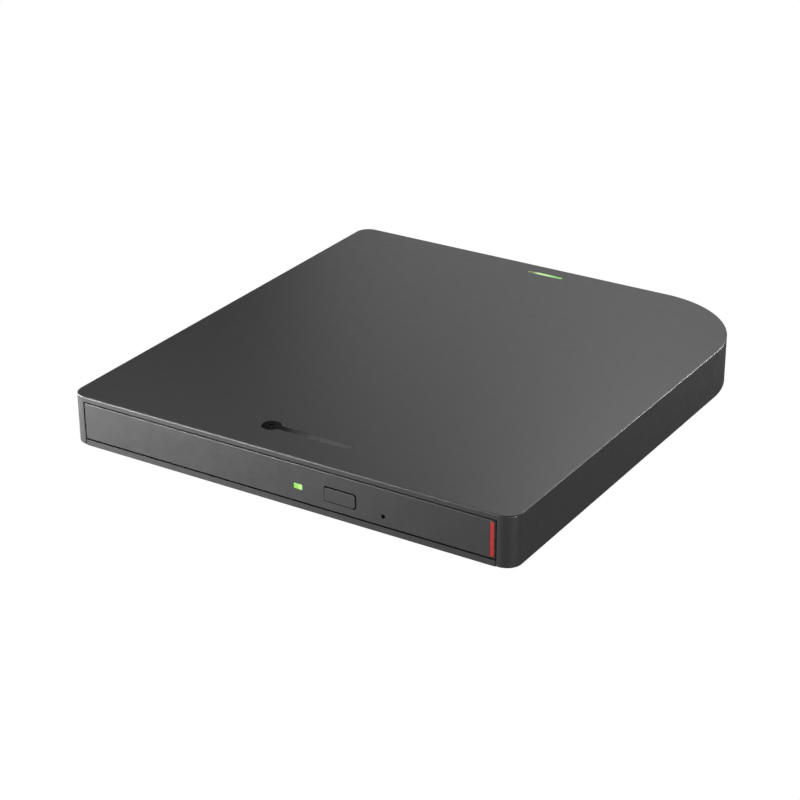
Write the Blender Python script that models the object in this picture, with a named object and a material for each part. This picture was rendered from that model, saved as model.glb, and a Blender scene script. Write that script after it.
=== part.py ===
"""A slim external optical disc drive: outer case, drive mechanism, sliding tray and pickup.

Metres, +Z up. The front, where the tray comes out, faces -Y and +X is to the right of it.
The origin is on the surface the drive stands on, under the middle of the case.
"""

from math import cos, pi, radians, sin

import bmesh
import bpy

MM = 0.001
FINE_GAP = 0.05 * MM  # between pieces that lie against each other
FIT_GAP = 0.1 * MM  # round a lens or an inlay

# --- Outer case ---
CASE_WIDTH = 145 * MM
CASE_DEPTH = 154.5 * MM
CASE_HEIGHT = 15.3 * MM
FOOT_DROP = 0.7 * MM
CORNER_RADIUS = 4.6 * MM
BIG_CORNER_RADIUS = 32 * MM  # rear right corner only
WALL = 1.4 * MM
CASE_EDGE_BEVEL = 0.35 * MM

CASE_BOTTOM = FOOT_DROP
CASE_TOP = FOOT_DROP + CASE_HEIGHT
ROOF_UNDERSIDE = CASE_TOP - WALL
RIGHT = CASE_WIDTH / 2
FRONT = -CASE_DEPTH / 2
REAR = CASE_DEPTH / 2

# --- Front opening and the bezel in it ---
OPENING_LEFT, OPENING_RIGHT = -67.98 * MM, 67.4 * MM
OPENING_TOP = CASE_BOTTOM + 13.63 * MM
SILL_TOP = CASE_BOTTOM + 1.8 * MM
SEAM = 0.35 * MM
BEZEL_LEFT, BEZEL_RIGHT = OPENING_LEFT + SEAM, OPENING_RIGHT - SEAM
BEZEL_LOW = SILL_TOP + SEAM
BEZEL_HIGH = OPENING_TOP - SEAM
BEZEL_BACK = FRONT + 3.2 * MM
BEZEL_FACE = 1.5 * MM

BUTTON_X, BUTTON_Z = 19.15 * MM, CASE_BOTTOM + 6.67 * MM
BUTTON_WIDTH, BUTTON_HEIGHT = 9.8 * MM, 3.96 * MM
LIGHT_X, LIGHT_Z = 5.65 * MM, CASE_BOTTOM + 6.55 * MM
LIGHT_WIDTH, LIGHT_HEIGHT = 2.8 * MM, 1.6 * MM
PINHOLE_X, PINHOLE_Z = 32.9 * MM, CASE_BOTTOM + 5.05 * MM
PINHOLE_RADIUS = 0.65 * MM
ACCENT_X = 66.05 * MM
ACCENT_WIDTH, ACCENT_HEIGHT = 1.35 * MM, 10.4 * MM

# --- Case top: status light and badge ---
STATUS_X, STATUS_Y = 0.25 * MM, 71.4 * MM
STATUS_LENGTH, STATUS_WIDTH = 12.5 * MM, 1.4 * MM
BADGE_Y = -64.6 * MM
BADGE_RING_X, BADGE_RING_RADIUS = -11.5 * MM, 2.8 * MM
BADGE_RIGHT = 15.3 * MM
BADGE_BAR = 2.2 * MM
BADGE_DEPTH = 0.4 * MM

# --- Fixings and feet ---
SCREW_PLACES = [(-67.4 * MM, -60 * MM), (67.4 * MM, -60 * MM), (-67.4 * MM, 66 * MM), (60 * MM, 61 * MM)]
FOOT_PLACES = [(-60 * MM, -65 * MM), (60 * MM, -65 * MM), (-60 * MM, 64 * MM), (48 * MM, 59 * MM)]
FOOT_RADIUS = 4.3 * MM
PANEL_LOW = CASE_BOTTOM + 0.15 * MM
PANEL_HIGH = PANEL_LOW + WALL

# --- Drive chassis, sheet metal ---
DRIVE_FRONT = FRONT + 4.65 * MM
DRIVE_BACK = 53.5 * MM
DRIVE_LOW = 3.65 * MM
DRIVE_HIGH = DRIVE_LOW + 9.5 * MM
DRIVE_HALF_WIDTH = 64 * MM
SHEET = 0.5 * MM
CHASSIS_HALF_WIDTH = 63.3 * MM
CHASSIS_FLOOR = DRIVE_LOW + SHEET

# --- Tray ---
TRAY_FRONT = FRONT + 3.5 * MM
TRAY_BACK = 48.6 * MM
TRAY_LOW = 5.3 * MM
TRAY_STEP = 9.7 * MM
TRAY_HIGH = 11.9 * MM
TRAY_BODY_HALF = 60.4 * MM
TRAY_FLANGE_HALF = 62.2 * MM
DISC_FLOOR = 10.0 * MM
DISC_RECESS_RADIUS = 60.6 * MM
SMALL_RECESS_RADIUS = 40.6 * MM
SMALL_RECESS_DEPTH = 0.4 * MM
POCKET_ROOF = 9.0 * MM
POCKET_HALF = 57.5 * MM
POCKET_FRONT = TRAY_FRONT + 2.25 * MM
POCKET_BACK = TRAY_BACK - 2.2 * MM
RAIL_LOW, RAIL_HIGH = 6.6 * MM, 8.4 * MM
RAIL_IN, RAIL_OUT = 59.2 * MM, 61.4 * MM

# --- Traverse unit, laid out from the spindle along the pickup's way ---
HUB_X, HUB_Y = -2 * MM, -11.5 * MM
TRAVERSE_ANGLE = radians(228)  # of the pickup's way, from +X
SHAFT_Z, SHAFT_V, SHAFT_RADIUS = 8.2 * MM, 17.8 * MM, 1.0 * MM
SCREW_Z, SCREW_V, SCREW_RADIUS = 7.7 * MM, 22 * MM, 1.1 * MM
LENS_U = 23 * MM  # lens to spindle with the pickup parked
FRAME_LOW, FRAME_HIGH = 6.0 * MM, 7.0 * MM
SHIELD_LOW, SHIELD_HIGH = 9.6 * MM, 9.9 * MM
TURNTABLE_RADIUS = 14.4 * MM
CLAW_COUNT = 3

# --- Rear end: drive connector, bridge board, USB socket ---
SATA_X, SATA_HALF = -20 * MM, 16.5 * MM
BOARD_LOW, BOARD_HIGH = 4.2 * MM, 5.2 * MM
USB_X, USB_Z = 20 * MM, 6.9 * MM
USB_WIDTH, USB_HEIGHT = 8.94 * MM, 3.26 * MM

# --- Tray latch ---
LATCH_X, LATCH_Y = 50 * MM, 38 * MM
LATCH_PIN_X, LATCH_PIN_Y = 54.4 * MM, 49.7 * MM
LATCH_LOW, LATCH_HIGH = 6.2 * MM, 8.0 * MM

PALETTE = {
    # name: colour, roughness, metallic
    "case_plastic": ((0.055, 0.055, 0.057), 0.55, 0.0),
    "bezel_plastic": ((0.06, 0.06, 0.062), 0.5, 0.0),
    "badge_gloss": ((0.02, 0.02, 0.02), 0.1, 0.0),
    "accent_red": ((0.55, 0.02, 0.02), 0.35, 0.0),
    "light_green": ((0.25, 0.9, 0.2), 0.25, 0.0),
    "rubber": ((0.03, 0.03, 0.03), 0.9, 0.0),
    "tray_plastic": ((0.03, 0.03, 0.032), 0.5, 0.0),
    "dark_plastic": ((0.02, 0.02, 0.02), 0.45, 0.0),
    "pale_plastic": ((0.75, 0.74, 0.7), 0.5, 0.0),
    "sheet_steel": ((0.55, 0.56, 0.57), 0.35, 1.0),
    "bright_steel": ((0.7, 0.7, 0.7), 0.2, 1.0),
    "die_cast": ((0.4, 0.41, 0.42), 0.45, 1.0),
    "black_screw": ((0.05, 0.05, 0.05), 0.4, 1.0),
    "board_green": ((0.02, 0.13, 0.06), 0.5, 0.0),
    "lens_glass": ((0.35, 0.4, 0.6), 0.05, 0.0),
    "flex_film": ((0.5, 0.28, 0.07), 0.4, 0.0),
    "foam": ((0.05, 0.05, 0.05), 0.95, 0.0),
}


# ---------------------------------------------------------------- tools


def clear_scene():
    for obj in list(bpy.data.objects):
        bpy.data.objects.remove(obj, do_unlink=True)


def material(name):
    """The palette's material of that name, made once."""
    found = bpy.data.materials.get(name)
    if found:
        return found
    colour, roughness, metallic = PALETTE[name]
    made = bpy.data.materials.new(name)
    made.use_nodes = True
    shader = made.node_tree.nodes["Principled BSDF"]
    shader.inputs["Base Color"].default_value = (*colour, 1.0)
    shader.inputs["Roughness"].default_value = roughness
    shader.inputs["Metallic"].default_value = metallic
    return made


def link(name, bm, finish, parent=None):
    """Turns a bmesh into a named object, faces out, round parts shaded smooth."""
    bmesh.ops.recalc_face_normals(bm, faces=bm.faces)
    mesh = bpy.data.meshes.new(name)
    bm.to_mesh(mesh)
    bm.free()
    mesh.shade_smooth()
    mesh.set_sharp_from_angle(angle=radians(35))
    if finish:
        mesh.materials.append(material(finish))
    obj = bpy.data.objects.new(name, mesh)
    bpy.context.scene.collection.objects.link(obj)
    obj.parent = parent
    return obj


def add_prism(bm, outline, low, high, axis="Z"):
    """Adds a prism: the outline's points are (x, y) for axis Z, (x, z) for Y and (y, z) for X."""
    place = {
        "Z": lambda a, b, c: (a, b, c),
        "Y": lambda a, b, c: (a, c, b),
        "X": lambda a, b, c: (c, a, b),
    }[axis]
    rings = [[bm.verts.new(place(a, b, c)) for a, b in outline] for c in (low, high)]
    bm.faces.new(list(reversed(rings[0])))
    bm.faces.new(rings[1])
    count = len(outline)
    for i in range(count):
        j = (i + 1) % count
        bm.faces.new((rings[0][i], rings[0][j], rings[1][j], rings[1][i]))


def add_turned(bm, profile, centre=(0, 0), steps=32):
    """Adds a solid turned about a vertical axis, from (radius, z) points; its ends on the axis or joined."""
    rings = []
    for radius, z in profile:
        if radius == 0:
            rings.append([bm.verts.new((centre[0], centre[1], z))])
            continue
        turns = [2 * pi * k / steps for k in range(steps)]
        points = [(centre[0] + radius * cos(t), centre[1] + radius * sin(t), z) for t in turns]
        rings.append([bm.verts.new(point) for point in points])
    closed = profile[0][0] != 0
    pairs = list(zip(rings, rings[1:] + rings[:1])) if closed else list(zip(rings, rings[1:]))
    for one, other in pairs:
        for k in range(steps):
            n = (k + 1) % steps
            if len(one) == 1:
                bm.faces.new((one[0], other[n], other[k]))
            elif len(other) == 1:
                bm.faces.new((one[k], one[n], other[0]))
            else:
                bm.faces.new((one[k], one[n], other[n], other[k]))


def rectangle(x, y):
    return [(x[0], y[0]), (x[1], y[0]), (x[1], y[1]), (x[0], y[1])]


def about(middle, size):
    """The low and high end of a length about its middle."""
    return middle - size / 2, middle + size / 2


def rounded(x, y, radii, steps=5):
    """A rectangle with rounded corners, from the low-x low-y corner round to the low-x high-y one."""
    if not isinstance(radii, (list, tuple)):
        radii = [radii] * 4
    corners = [
        (x[0], y[0], 1, 1, 180), (x[1], y[0], -1, 1, 270), (x[1], y[1], -1, -1, 0), (x[0], y[1], 1, -1, 90),
    ]
    points = []
    for (cx, cy, sx, sy, start), radius in zip(corners, radii):
        count = max(steps, round(steps * (radius / (6 * MM)) ** 0.5))
        for k in range(count + 1):
            t = radians(start + 90 * k / count)
            points.append((cx + sx * radius + radius * cos(t), cy + sy * radius + radius * sin(t)))
    return points


def circle(x, y, radius, steps=24):
    turns = [2 * pi * k / steps for k in range(steps)]
    return [(x + radius * cos(t), y + radius * sin(t)) for t in turns]


def case_outline(inset=0.0):
    """The case seen from above, moved in by inset."""
    radii = [CORNER_RADIUS - inset, CORNER_RADIUS - inset, BIG_CORNER_RADIUS - inset, CORNER_RADIUS - inset]
    return rounded((-RIGHT + inset, RIGHT - inset), (FRONT + inset, REAR - inset), radii)


def prism(name, outline, low, high, finish=None, axis="Z", parent=None):
    bm = bmesh.new()
    add_prism(bm, outline, low, high, axis)
    return link(name, bm, finish, parent)


def box(name, x, y, z, finish=None, parent=None):
    return prism(name, rectangle(x, y), z[0], z[1], finish, parent=parent)


def turned(name, profile, finish, centre=(0, 0), steps=32, parent=None):
    bm = bmesh.new()
    add_turned(bm, profile, centre, steps)
    return link(name, bm, finish, parent)


def rod(name, x, y, z, radius, finish=None, parent=None, steps=16):
    """A round bar along the one of x, y and z that is a (low, high) pair."""
    if isinstance(x, tuple):
        return prism(name, circle(y, z, radius, steps), x[0], x[1], finish, "X", parent)
    if isinstance(y, tuple):
        return prism(name, circle(x, z, radius, steps), y[0], y[1], finish, "Y", parent)
    return prism(name, circle(x, y, radius, steps), z[0], z[1], finish, "Z", parent)


def combine(obj, other, operation):
    """Joins or cuts obj with another object, which is then only a guide."""
    other.hide_render = True
    other.display_type = "WIRE"
    modifier = obj.modifiers.new(other.name, "BOOLEAN")
    modifier.object = other
    modifier.operation = operation
    modifier.solver = "EXACT"
    return obj


def cut(obj, *others):
    for other in others:
        combine(obj, other, "DIFFERENCE")
    return obj


def join(obj, *others):
    for other in others:
        combine(obj, other, "UNION")
    return obj


def bevel(obj, width, segments=1, angle=50):
    modifier = obj.modifiers.new("edges", "BEVEL")
    modifier.width = width
    modifier.segments = segments
    modifier.limit_method = "ANGLE"
    modifier.angle_limit = radians(angle)
    modifier.use_clamp_overlap = True
    return obj


# ---------------------------------------------------------------- outer case


def stadium(x, y, length, width, steps=8):
    """A slot with round ends, along x."""
    return rounded(about(x, length), about(y, width), width / 2, steps)


def badge_shapes(grow=0.0):
    """The generic badge: a disc with one plain bar running out of it."""
    bar_end = BADGE_RIGHT + grow
    bar = rounded(
        (BADGE_RING_X, bar_end), about(BADGE_Y, BADGE_BAR + 2 * grow), [0, BADGE_BAR / 2, BADGE_BAR / 2, 0],
        5,
    )
    return [circle(BADGE_RING_X, BADGE_Y, BADGE_RING_RADIUS + grow, 32), bar]


def top_cover():
    cover = prism("top_cover", case_outline(), CASE_BOTTOM, CASE_TOP, "case_plastic")
    bevel(cover, CASE_EDGE_BEVEL, 2)
    cut(cover, prism("case_inside", case_outline(WALL), CASE_BOTTOM - WALL, ROOF_UNDERSIDE))
    opening = (OPENING_LEFT, OPENING_RIGHT)
    through_front = (FRONT - WALL, FRONT + 1.5 * WALL)
    cut(cover, box("front_opening", opening, through_front, (CASE_BOTTOM - WALL, OPENING_TOP)))

    boss_radius, pilot_radius, pilot_depth = 2.6 * MM, 1.3 * MM, 6 * MM
    for number, (x, y) in enumerate(SCREW_PLACES):
        boss_z = (PANEL_HIGH + FIT_GAP, ROOF_UNDERSIDE + WALL / 2)
        join(cover, rod(f"screw_boss_{number}", x, y, boss_z, boss_radius, steps=16))
        cut(cover, rod(f"pilot_hole_{number}", x, y, (0, PANEL_HIGH + pilot_depth), pilot_radius, steps=12))

    socket = stadium(USB_X, USB_Z, USB_WIDTH + 0.7 * MM, USB_HEIGHT + 0.7 * MM)
    cut(cover, prism("socket_hole", socket, REAR - 2 * WALL, REAR + WALL, axis="Y"))
    light = stadium(STATUS_X, STATUS_Y, STATUS_LENGTH + 2 * FIT_GAP, STATUS_WIDTH + 2 * FIT_GAP)
    cut(cover, prism("status_slot", light, ROOF_UNDERSIDE - WALL, CASE_TOP + WALL))
    for number, shape in enumerate(badge_shapes(FIT_GAP)):
        cut(cover, prism(f"badge_recess_{number}", shape, CASE_TOP - BADGE_DEPTH, CASE_TOP + WALL))
    return cover


def badge_inlay():
    low, high, hole_radius = CASE_TOP - BADGE_DEPTH + FINE_GAP, CASE_TOP - 0.08 * MM, 0.75 * MM
    ring, bar = badge_shapes()
    badge = prism("badge_inlay", ring, low, high, "badge_gloss")
    join(badge, prism("badge_bar", bar, low, high))
    return cut(
        badge, rod("badge_hole", BADGE_RING_X, BADGE_Y, (low - MM, high + MM), hole_radius, steps=16),
    )


def status_light_guide():
    """Blade that carries light up from the board to the case's top, with a flange under the roof."""
    set_back, flange_low, flange_high = 0.12 * MM, ROOF_UNDERSIDE - 1.1 * MM, ROOF_UNDERSIDE - FIT_GAP
    blade = stadium(STATUS_X, STATUS_Y, STATUS_LENGTH, STATUS_WIDTH)
    guide = prism("status_light_guide", blade, BOARD_HIGH + 1.4 * MM, CASE_TOP - set_back, "light_green")
    flange_x, flange_y = about(STATUS_X, STATUS_LENGTH + 2 * MM), about(STATUS_Y, STATUS_WIDTH + 1.4 * MM)
    return join(guide, box("guide_flange", flange_x, flange_y, (flange_low, flange_high)))


def bottom_cover():
    """Flat panel inside the top cover's rim, with the sill that closes the front under the bezel."""
    rim_gap = 0.2 * MM
    panel = prism("bottom_cover", case_outline(WALL + rim_gap), PANEL_LOW, PANEL_HIGH, "case_plastic")
    sill_x = (OPENING_LEFT + 0.28 * MM, OPENING_RIGHT - 0.28 * MM)
    sill = box("sill", sill_x, (FRONT, FRONT + 2.6 * MM), (CASE_BOTTOM, SILL_TOP))
    bevel(sill, 0.3 * MM)
    join(panel, sill)

    rib_width, rib_length, rib_top = 1.2 * MM, 12 * MM, 7.5 * MM
    for side in (-1, 1):
        for number, y in enumerate((-45 * MM, 35 * MM)):
            x = side * (DRIVE_HALF_WIDTH + FIT_GAP + rib_width / 2)
            rib = box(
                f"side_rib_{side}_{number}", about(x, rib_width), about(y, rib_length),
                (PANEL_LOW + WALL / 2, rib_top),
            )
            join(panel, rib)
    post_radius, post_top = 3 * MM, DRIVE_LOW - FINE_GAP
    for number, (x, y) in enumerate(
        ((-50 * MM, -55 * MM), (50 * MM, -55 * MM), (-50 * MM, 40 * MM), (50 * MM, 40 * MM)),
    ):
        join(panel, rod(f"drive_post_{number}", x, y, (PANEL_LOW + WALL / 2, post_top), post_radius))
    for number, (x, y) in enumerate(board_screw_places()):
        post = rod(f"board_post_{number}", x, y, (PANEL_LOW + WALL / 2, BOARD_LOW - FINE_GAP), 2.2 * MM)
        join(panel, post)
        cut(
            panel,
            rod(f"board_pilot_{number}", x, y, (PANEL_LOW + 0.6 * MM, BOARD_HIGH), 0.8 * MM, steps=12),
        )

    counterbore = PANEL_LOW + 0.75 * MM
    for number, (x, y) in enumerate(SCREW_PLACES):
        cut(panel, rod(f"screw_hole_{number}", x, y, (0, PANEL_HIGH + MM), 1.3 * MM))
        cut(panel, rod(f"screw_sink_{number}", x, y, (0, counterbore), 2.5 * MM, steps=20))
    for number, (x, y) in enumerate(FOOT_PLACES):
        cut(
            panel,
            rod(f"foot_sink_{number}", x, y, (0, PANEL_LOW + 0.4 * MM), FOOT_RADIUS + 0.15 * MM, steps=24),
        )

    slot_count, slot_pitch, slot_length, slot_width = 7, 5 * MM, 13 * MM, 1.6 * MM
    for number in range(slot_count):
        x = -8 * MM + (number - (slot_count - 1) / 2) * slot_pitch
        slot = rounded(about(x, slot_width), about(64.5 * MM, slot_length), slot_width / 2, 3)
        cut(panel, prism(f"vent_{number}", slot, 0, PANEL_HIGH + MM))
    label = rounded(about(0, 84 * MM), about(-6 * MM, 46 * MM), 2 * MM, 3)
    return cut(panel, prism("label_recess", label, 0, PANEL_LOW + 0.15 * MM))


def rubber_feet():
    top, edge = PANEL_LOW + 0.4 * MM - FINE_GAP, 0.35 * MM
    profile = [(0, 0), (FOOT_RADIUS - edge, 0), (FOOT_RADIUS, edge), (FOOT_RADIUS, top), (0, top)]
    for number, place in enumerate(FOOT_PLACES):
        turned(f"rubber_foot_{number + 1}", profile, "rubber", place, 24)


def case_screws():
    """Upright screws, heads down, with a cross recess in each head."""
    head, seat, tip = PANEL_LOW + 0.05 * MM, PANEL_LOW + 0.7 * MM, PANEL_LOW + 6.2 * MM
    head_radius, shank_radius = 2.2 * MM, 1.15 * MM
    profile = [
        (0, head), (head_radius, head), (head_radius, seat), (shank_radius, seat), (shank_radius, tip),
        (0, tip),
    ]
    arm, half = 1.3 * MM, 0.3 * MM
    cross = [(half, half), (half, arm), (-half, arm), (-half, half), (-arm, half), (-arm, -half)]
    cross += [(-half, -half), (-half, -arm), (half, -arm), (half, -half), (arm, -half), (arm, half)]
    for number, (x, y) in enumerate(SCREW_PLACES):
        screw = turned(f"case_screw_{number + 1}", profile, "black_screw", (x, y), 16)
        recess = [(x + a, y + b) for a, b in cross]
        cut(screw, prism(f"cross_recess_{number}", recess, head - MM, head + 0.4 * MM))


def foam_pad():
    """Strip that presses the drive down onto the bottom cover's posts."""
    z = (DRIVE_HIGH + FINE_GAP, ROOF_UNDERSIDE - FINE_GAP)
    return box("foam_pad", about(0, 110 * MM), about(40 * MM, 8 * MM), z, "foam")


# ---------------------------------------------------------------- bridge board behind the drive


def board_screw_places():
    return [(-39 * MM, 71 * MM), (32 * MM, 59.5 * MM)]


def bridge_board():
    outline = rounded((-42.5 * MM, 35.5 * MM), (56.5 * MM, 74.6 * MM), 1.5 * MM, 3)
    board = prism("bridge_board", outline, BOARD_LOW, BOARD_HIGH, "board_green")
    for number, (x, y) in enumerate(board_screw_places()):
        cut(board, rod(f"board_hole_{number}", x, y, (BOARD_LOW - MM, BOARD_HIGH + MM), 1.2 * MM, steps=12))
    return board


def bridge_chip():
    z = (BOARD_HIGH + FINE_GAP, BOARD_HIGH + 1.0 * MM)
    return box("bridge_chip", about(6.5 * MM, 7 * MM), about(63.5 * MM, 7 * MM), z, "dark_plastic")


def usb_socket():
    """Round-ended metal shell, open to the rear of the case, with the contact tongue in it."""
    wall, front, back = 0.3 * MM, REAR - 7.4 * MM, REAR - 0.25 * MM
    shell = prism(
        "usb_socket_shell", stadium(USB_X, USB_Z, USB_WIDTH, USB_HEIGHT), front, back, "bright_steel", "Y",
    )
    mouth = stadium(USB_X, USB_Z, USB_WIDTH - 2 * wall, USB_HEIGHT - 2 * wall)
    cut(shell, prism("socket_mouth", mouth, front + 1.2 * MM, back + MM, axis="Y"))
    tongue_x, tongue_z = about(USB_X, 6.7 * MM), about(USB_Z, 0.7 * MM)
    tongue = box(
        "usb_socket_tongue", tongue_x, (front + 1.2 * MM + FINE_GAP, back - 0.7 * MM), tongue_z,
        "dark_plastic",
    )
    return bevel(tongue, 0.15 * MM)


def sata_receptacle():
    """The bridge board's half of the drive connector, pushed onto the drive's plug."""
    front, back = DRIVE_BACK + 1.25 * MM, DRIVE_BACK + 7 * MM
    x = about(SATA_X, 2 * SATA_HALF + 2 * MM)
    body = box("sata_receptacle", x, (front, back), (BOARD_HIGH + FINE_GAP, 9.4 * MM), "dark_plastic")
    for number, (low, high) in enumerate(((-16.1, -8.5), (-6.5, 15.9))):
        slot_x = (SATA_X + low * MM, SATA_X + high * MM)
        cut(body, box(f"sata_slot_{number}", slot_x, (front - MM, back - 1.5 * MM), (6.4 * MM, 8.2 * MM)))
    return body


# ---------------------------------------------------------------- drive chassis


def drive_chassis():
    """Folded sheet tray that carries the rail guides; open at the front and the top."""
    outer_y = (DRIVE_FRONT, DRIVE_BACK)
    chassis = box(
        "drive_chassis", about(0, 2 * CHASSIS_HALF_WIDTH), outer_y, (DRIVE_LOW, 12.2 * MM), "sheet_steel",
    )
    inner_x = about(0, 2 * (CHASSIS_HALF_WIDTH - SHEET))
    inner_y = (DRIVE_FRONT - MM, DRIVE_BACK - SHEET)
    cut(chassis, box("chassis_inside", inner_x, inner_y, (CHASSIS_FLOOR, DRIVE_HIGH)))
    window_x = about(SATA_X, 2 * SATA_HALF + 1.6 * MM)
    cut(
        chassis,
        box("connector_window", window_x, (DRIVE_BACK - MM, DRIVE_BACK + MM), (4.6 * MM, 9.2 * MM)),
    )
    return chassis


def drive_lid():
    """Sheet lid whose sides fold down over the chassis."""
    lid_y = (DRIVE_FRONT, DRIVE_BACK)
    lid = box("drive_lid", about(0, 2 * DRIVE_HALF_WIDTH), lid_y, (7.5 * MM, DRIVE_HIGH), "sheet_steel")
    inner_x = about(0, 2 * (DRIVE_HALF_WIDTH - SHEET))
    return cut(
        lid, box("lid_inside", inner_x, (DRIVE_FRONT - MM, DRIVE_BACK + MM), (0, DRIVE_HIGH - SHEET)),
    )


def rail_guide(name, side):
    """Plastic guide fixed in the chassis, with the groove that the rail slides in."""
    near, far = 60.7 * MM, CHASSIS_HALF_WIDTH - SHEET - FINE_GAP
    low, high = 5.0 * MM, 9.3 * MM
    slack = 0.2 * MM
    points = [(near, low), (far, low), (far, high), (near, high), (near, RAIL_HIGH + slack)]
    points += [
        (RAIL_OUT + slack, RAIL_HIGH + slack), (RAIL_OUT + slack, RAIL_LOW - slack),
        (near, RAIL_LOW - slack),
    ]
    section = [(side * x, z) for x, z in points]
    return prism(name, section, DRIVE_FRONT + 1.6 * MM, 40 * MM, "dark_plastic", "Y")


def tray_rail(name, side):
    """Steel channel between the guide and the tray, which moves half as far as the tray."""
    web = 0.7 * MM
    lip_low, lip_high = RAIL_LOW + 0.5 * MM, RAIL_HIGH - 0.5 * MM
    points = [(RAIL_IN, RAIL_LOW), (RAIL_OUT, RAIL_LOW), (RAIL_OUT, RAIL_HIGH), (RAIL_IN, RAIL_HIGH)]
    points += [
        (RAIL_IN, lip_high), (RAIL_OUT - web, lip_high), (RAIL_OUT - web, lip_low), (RAIL_IN, lip_low),
    ]
    section = [(side * x, z) for x, z in points]
    return prism(name, section, DRIVE_FRONT + 2.4 * MM, 48 * MM, "sheet_steel", "Y")


def drive_connector():
    """Small board at the chassis's rear, with the plug that leaves through the window."""
    x = about(SATA_X, 2 * SATA_HALF + 2 * MM)
    box("connector_board", x, (43 * MM, 52.6 * MM), (4.35 * MM, 5.15 * MM), "board_green")
    plug_x = about(SATA_X, 2 * SATA_HALF)
    plug = box("sata_plug", plug_x, (47.5 * MM, DRIVE_BACK + MM), (5.2 * MM, 8.9 * MM), "dark_plastic")
    for number, (low, high) in enumerate(((-15.7, -8.9), (-6.1, 15.5))):
        slot_x = (SATA_X + low * MM, SATA_X + high * MM)
        cut(plug, box(f"plug_slot_{number}", slot_x, (50 * MM, DRIVE_BACK + 2 * MM), (6.2 * MM, 7.9 * MM)))
    return plug


def flex_cables():
    """Flat cable from the fixed connector board to the tray: a strand on the floor and one above it."""
    x, thickness = about(SATA_X, 14 * MM), 0.12 * MM
    lower, upper = CHASSIS_FLOOR + 0.06 * MM, CHASSIS_FLOOR + 0.38 * MM
    box("flex_cable_fixed", x, (-14 * MM, 42.8 * MM), (lower, lower + thickness), "flex_film")
    box("flex_cable_moving", x, (-12 * MM, 40 * MM), (upper, upper + thickness), "flex_film")


# ---------------------------------------------------------------- tray


def traverse_axes():
    """Empty at the spindle: its X is the pickup's way (u), its Y is across it (v)."""
    axes = bpy.data.objects.new("traverse_axes", None)
    bpy.context.scene.collection.objects.link(axes)
    axes.location = (HUB_X, HUB_Y, 0)
    axes.rotation_euler = (0, 0, TRAVERSE_ANGLE)
    return axes


def traverse_outline(grow=0.0):
    """Outline of the traverse unit in (u, v), which the tray's opening follows."""
    u_back, u_end, v_low, v_ear, v_high = -20 * MM, 67.5 * MM, -20 * MM, -26.6 * MM, 27 * MM
    ear_start, ear_end, nose = 40 * MM, 52 * MM, 10 * MM
    g = grow
    return [
        (u_back - g, v_low - g), (ear_start - g, v_low - g),
        (ear_start - g, v_ear - g), (ear_end + g, v_ear - g),
        (ear_end + g, v_low - g), (60 * MM + g, v_low - g), (u_end + g, -nose - g), (u_end + g, nose + g),
        (58 * MM + g, 24 * MM + g), (52 * MM, v_high + g), (u_back - g, v_high + g),
    ]


def disc_tray(axes):
    section = [
        (TRAY_BODY_HALF, TRAY_LOW), (TRAY_BODY_HALF, TRAY_STEP), (TRAY_FLANGE_HALF, TRAY_STEP),
        (TRAY_FLANGE_HALF, TRAY_HIGH),
    ]
    section = [(-x, z) for x, z in reversed(section)] + section
    tray = prism("disc_tray", section, TRAY_FRONT, TRAY_BACK, "tray_plastic", "Y")
    above = TRAY_HIGH + MM
    cut(tray, rod("disc_recess", HUB_X, HUB_Y, (DISC_FLOOR, above), DISC_RECESS_RADIUS, steps=96))
    small_floor = DISC_FLOOR - SMALL_RECESS_DEPTH
    cut(tray, rod("small_disc_recess", HUB_X, HUB_Y, (small_floor, above), SMALL_RECESS_RADIUS, steps=64))
    pocket_y = (POCKET_FRONT, POCKET_BACK)
    cut(tray, box("board_pocket", about(0, 2 * POCKET_HALF), pocket_y, (0, POCKET_ROOF)))

    slack = 0.2 * MM
    for side in (-1, 1):
        groove_x = sorted((side * (RAIL_IN - slack), side * (TRAY_BODY_HALF + MM)))
        groove_z = (RAIL_LOW - slack, RAIL_HIGH + slack)
        cut(tray, box(f"rail_groove_{side}", groove_x, (TRAY_FRONT + 2 * MM, TRAY_BACK + MM), groove_z))
    opening = prism("traverse_opening", traverse_outline(0.8 * MM), 0, DISC_FLOOR + MM, parent=axes)
    cut(tray, opening)

    notch_x = about(SATA_X, 2 * SATA_HALF + 5 * MM)
    cut(tray, box("connector_notch", notch_x, (41.5 * MM, TRAY_BACK + MM), (0, 9.3 * MM)))
    cut(tray, box("hook_slot", (47.5 * MM, 57 * MM), (POCKET_BACK - MM, TRAY_BACK + MM), (0, 8.8 * MM)))
    cut(tray, box("switch_window", (2 * MM, 38 * MM), (TRAY_FRONT - MM, POCKET_FRONT + MM), (0, 9.3 * MM)))
    for number, x in enumerate(bezel_clip_places()):
        clip = box(
            f"clip_slot_{number}", about(x, 7 * MM), (TRAY_FRONT - MM, POCKET_FRONT + MM),
            (7 * MM, 8.9 * MM),
        )
        cut(tray, clip)
    pivot_z = (TRAY_LOW + 0.3 * MM, POCKET_ROOF + 0.5 * MM)
    return join(tray, rod("latch_pivot", LATCH_X, LATCH_Y, pivot_z, 1.2 * MM))


def bezel_clip_places():
    return [-48 * MM, -16 * MM, 48 * MM]


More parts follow.
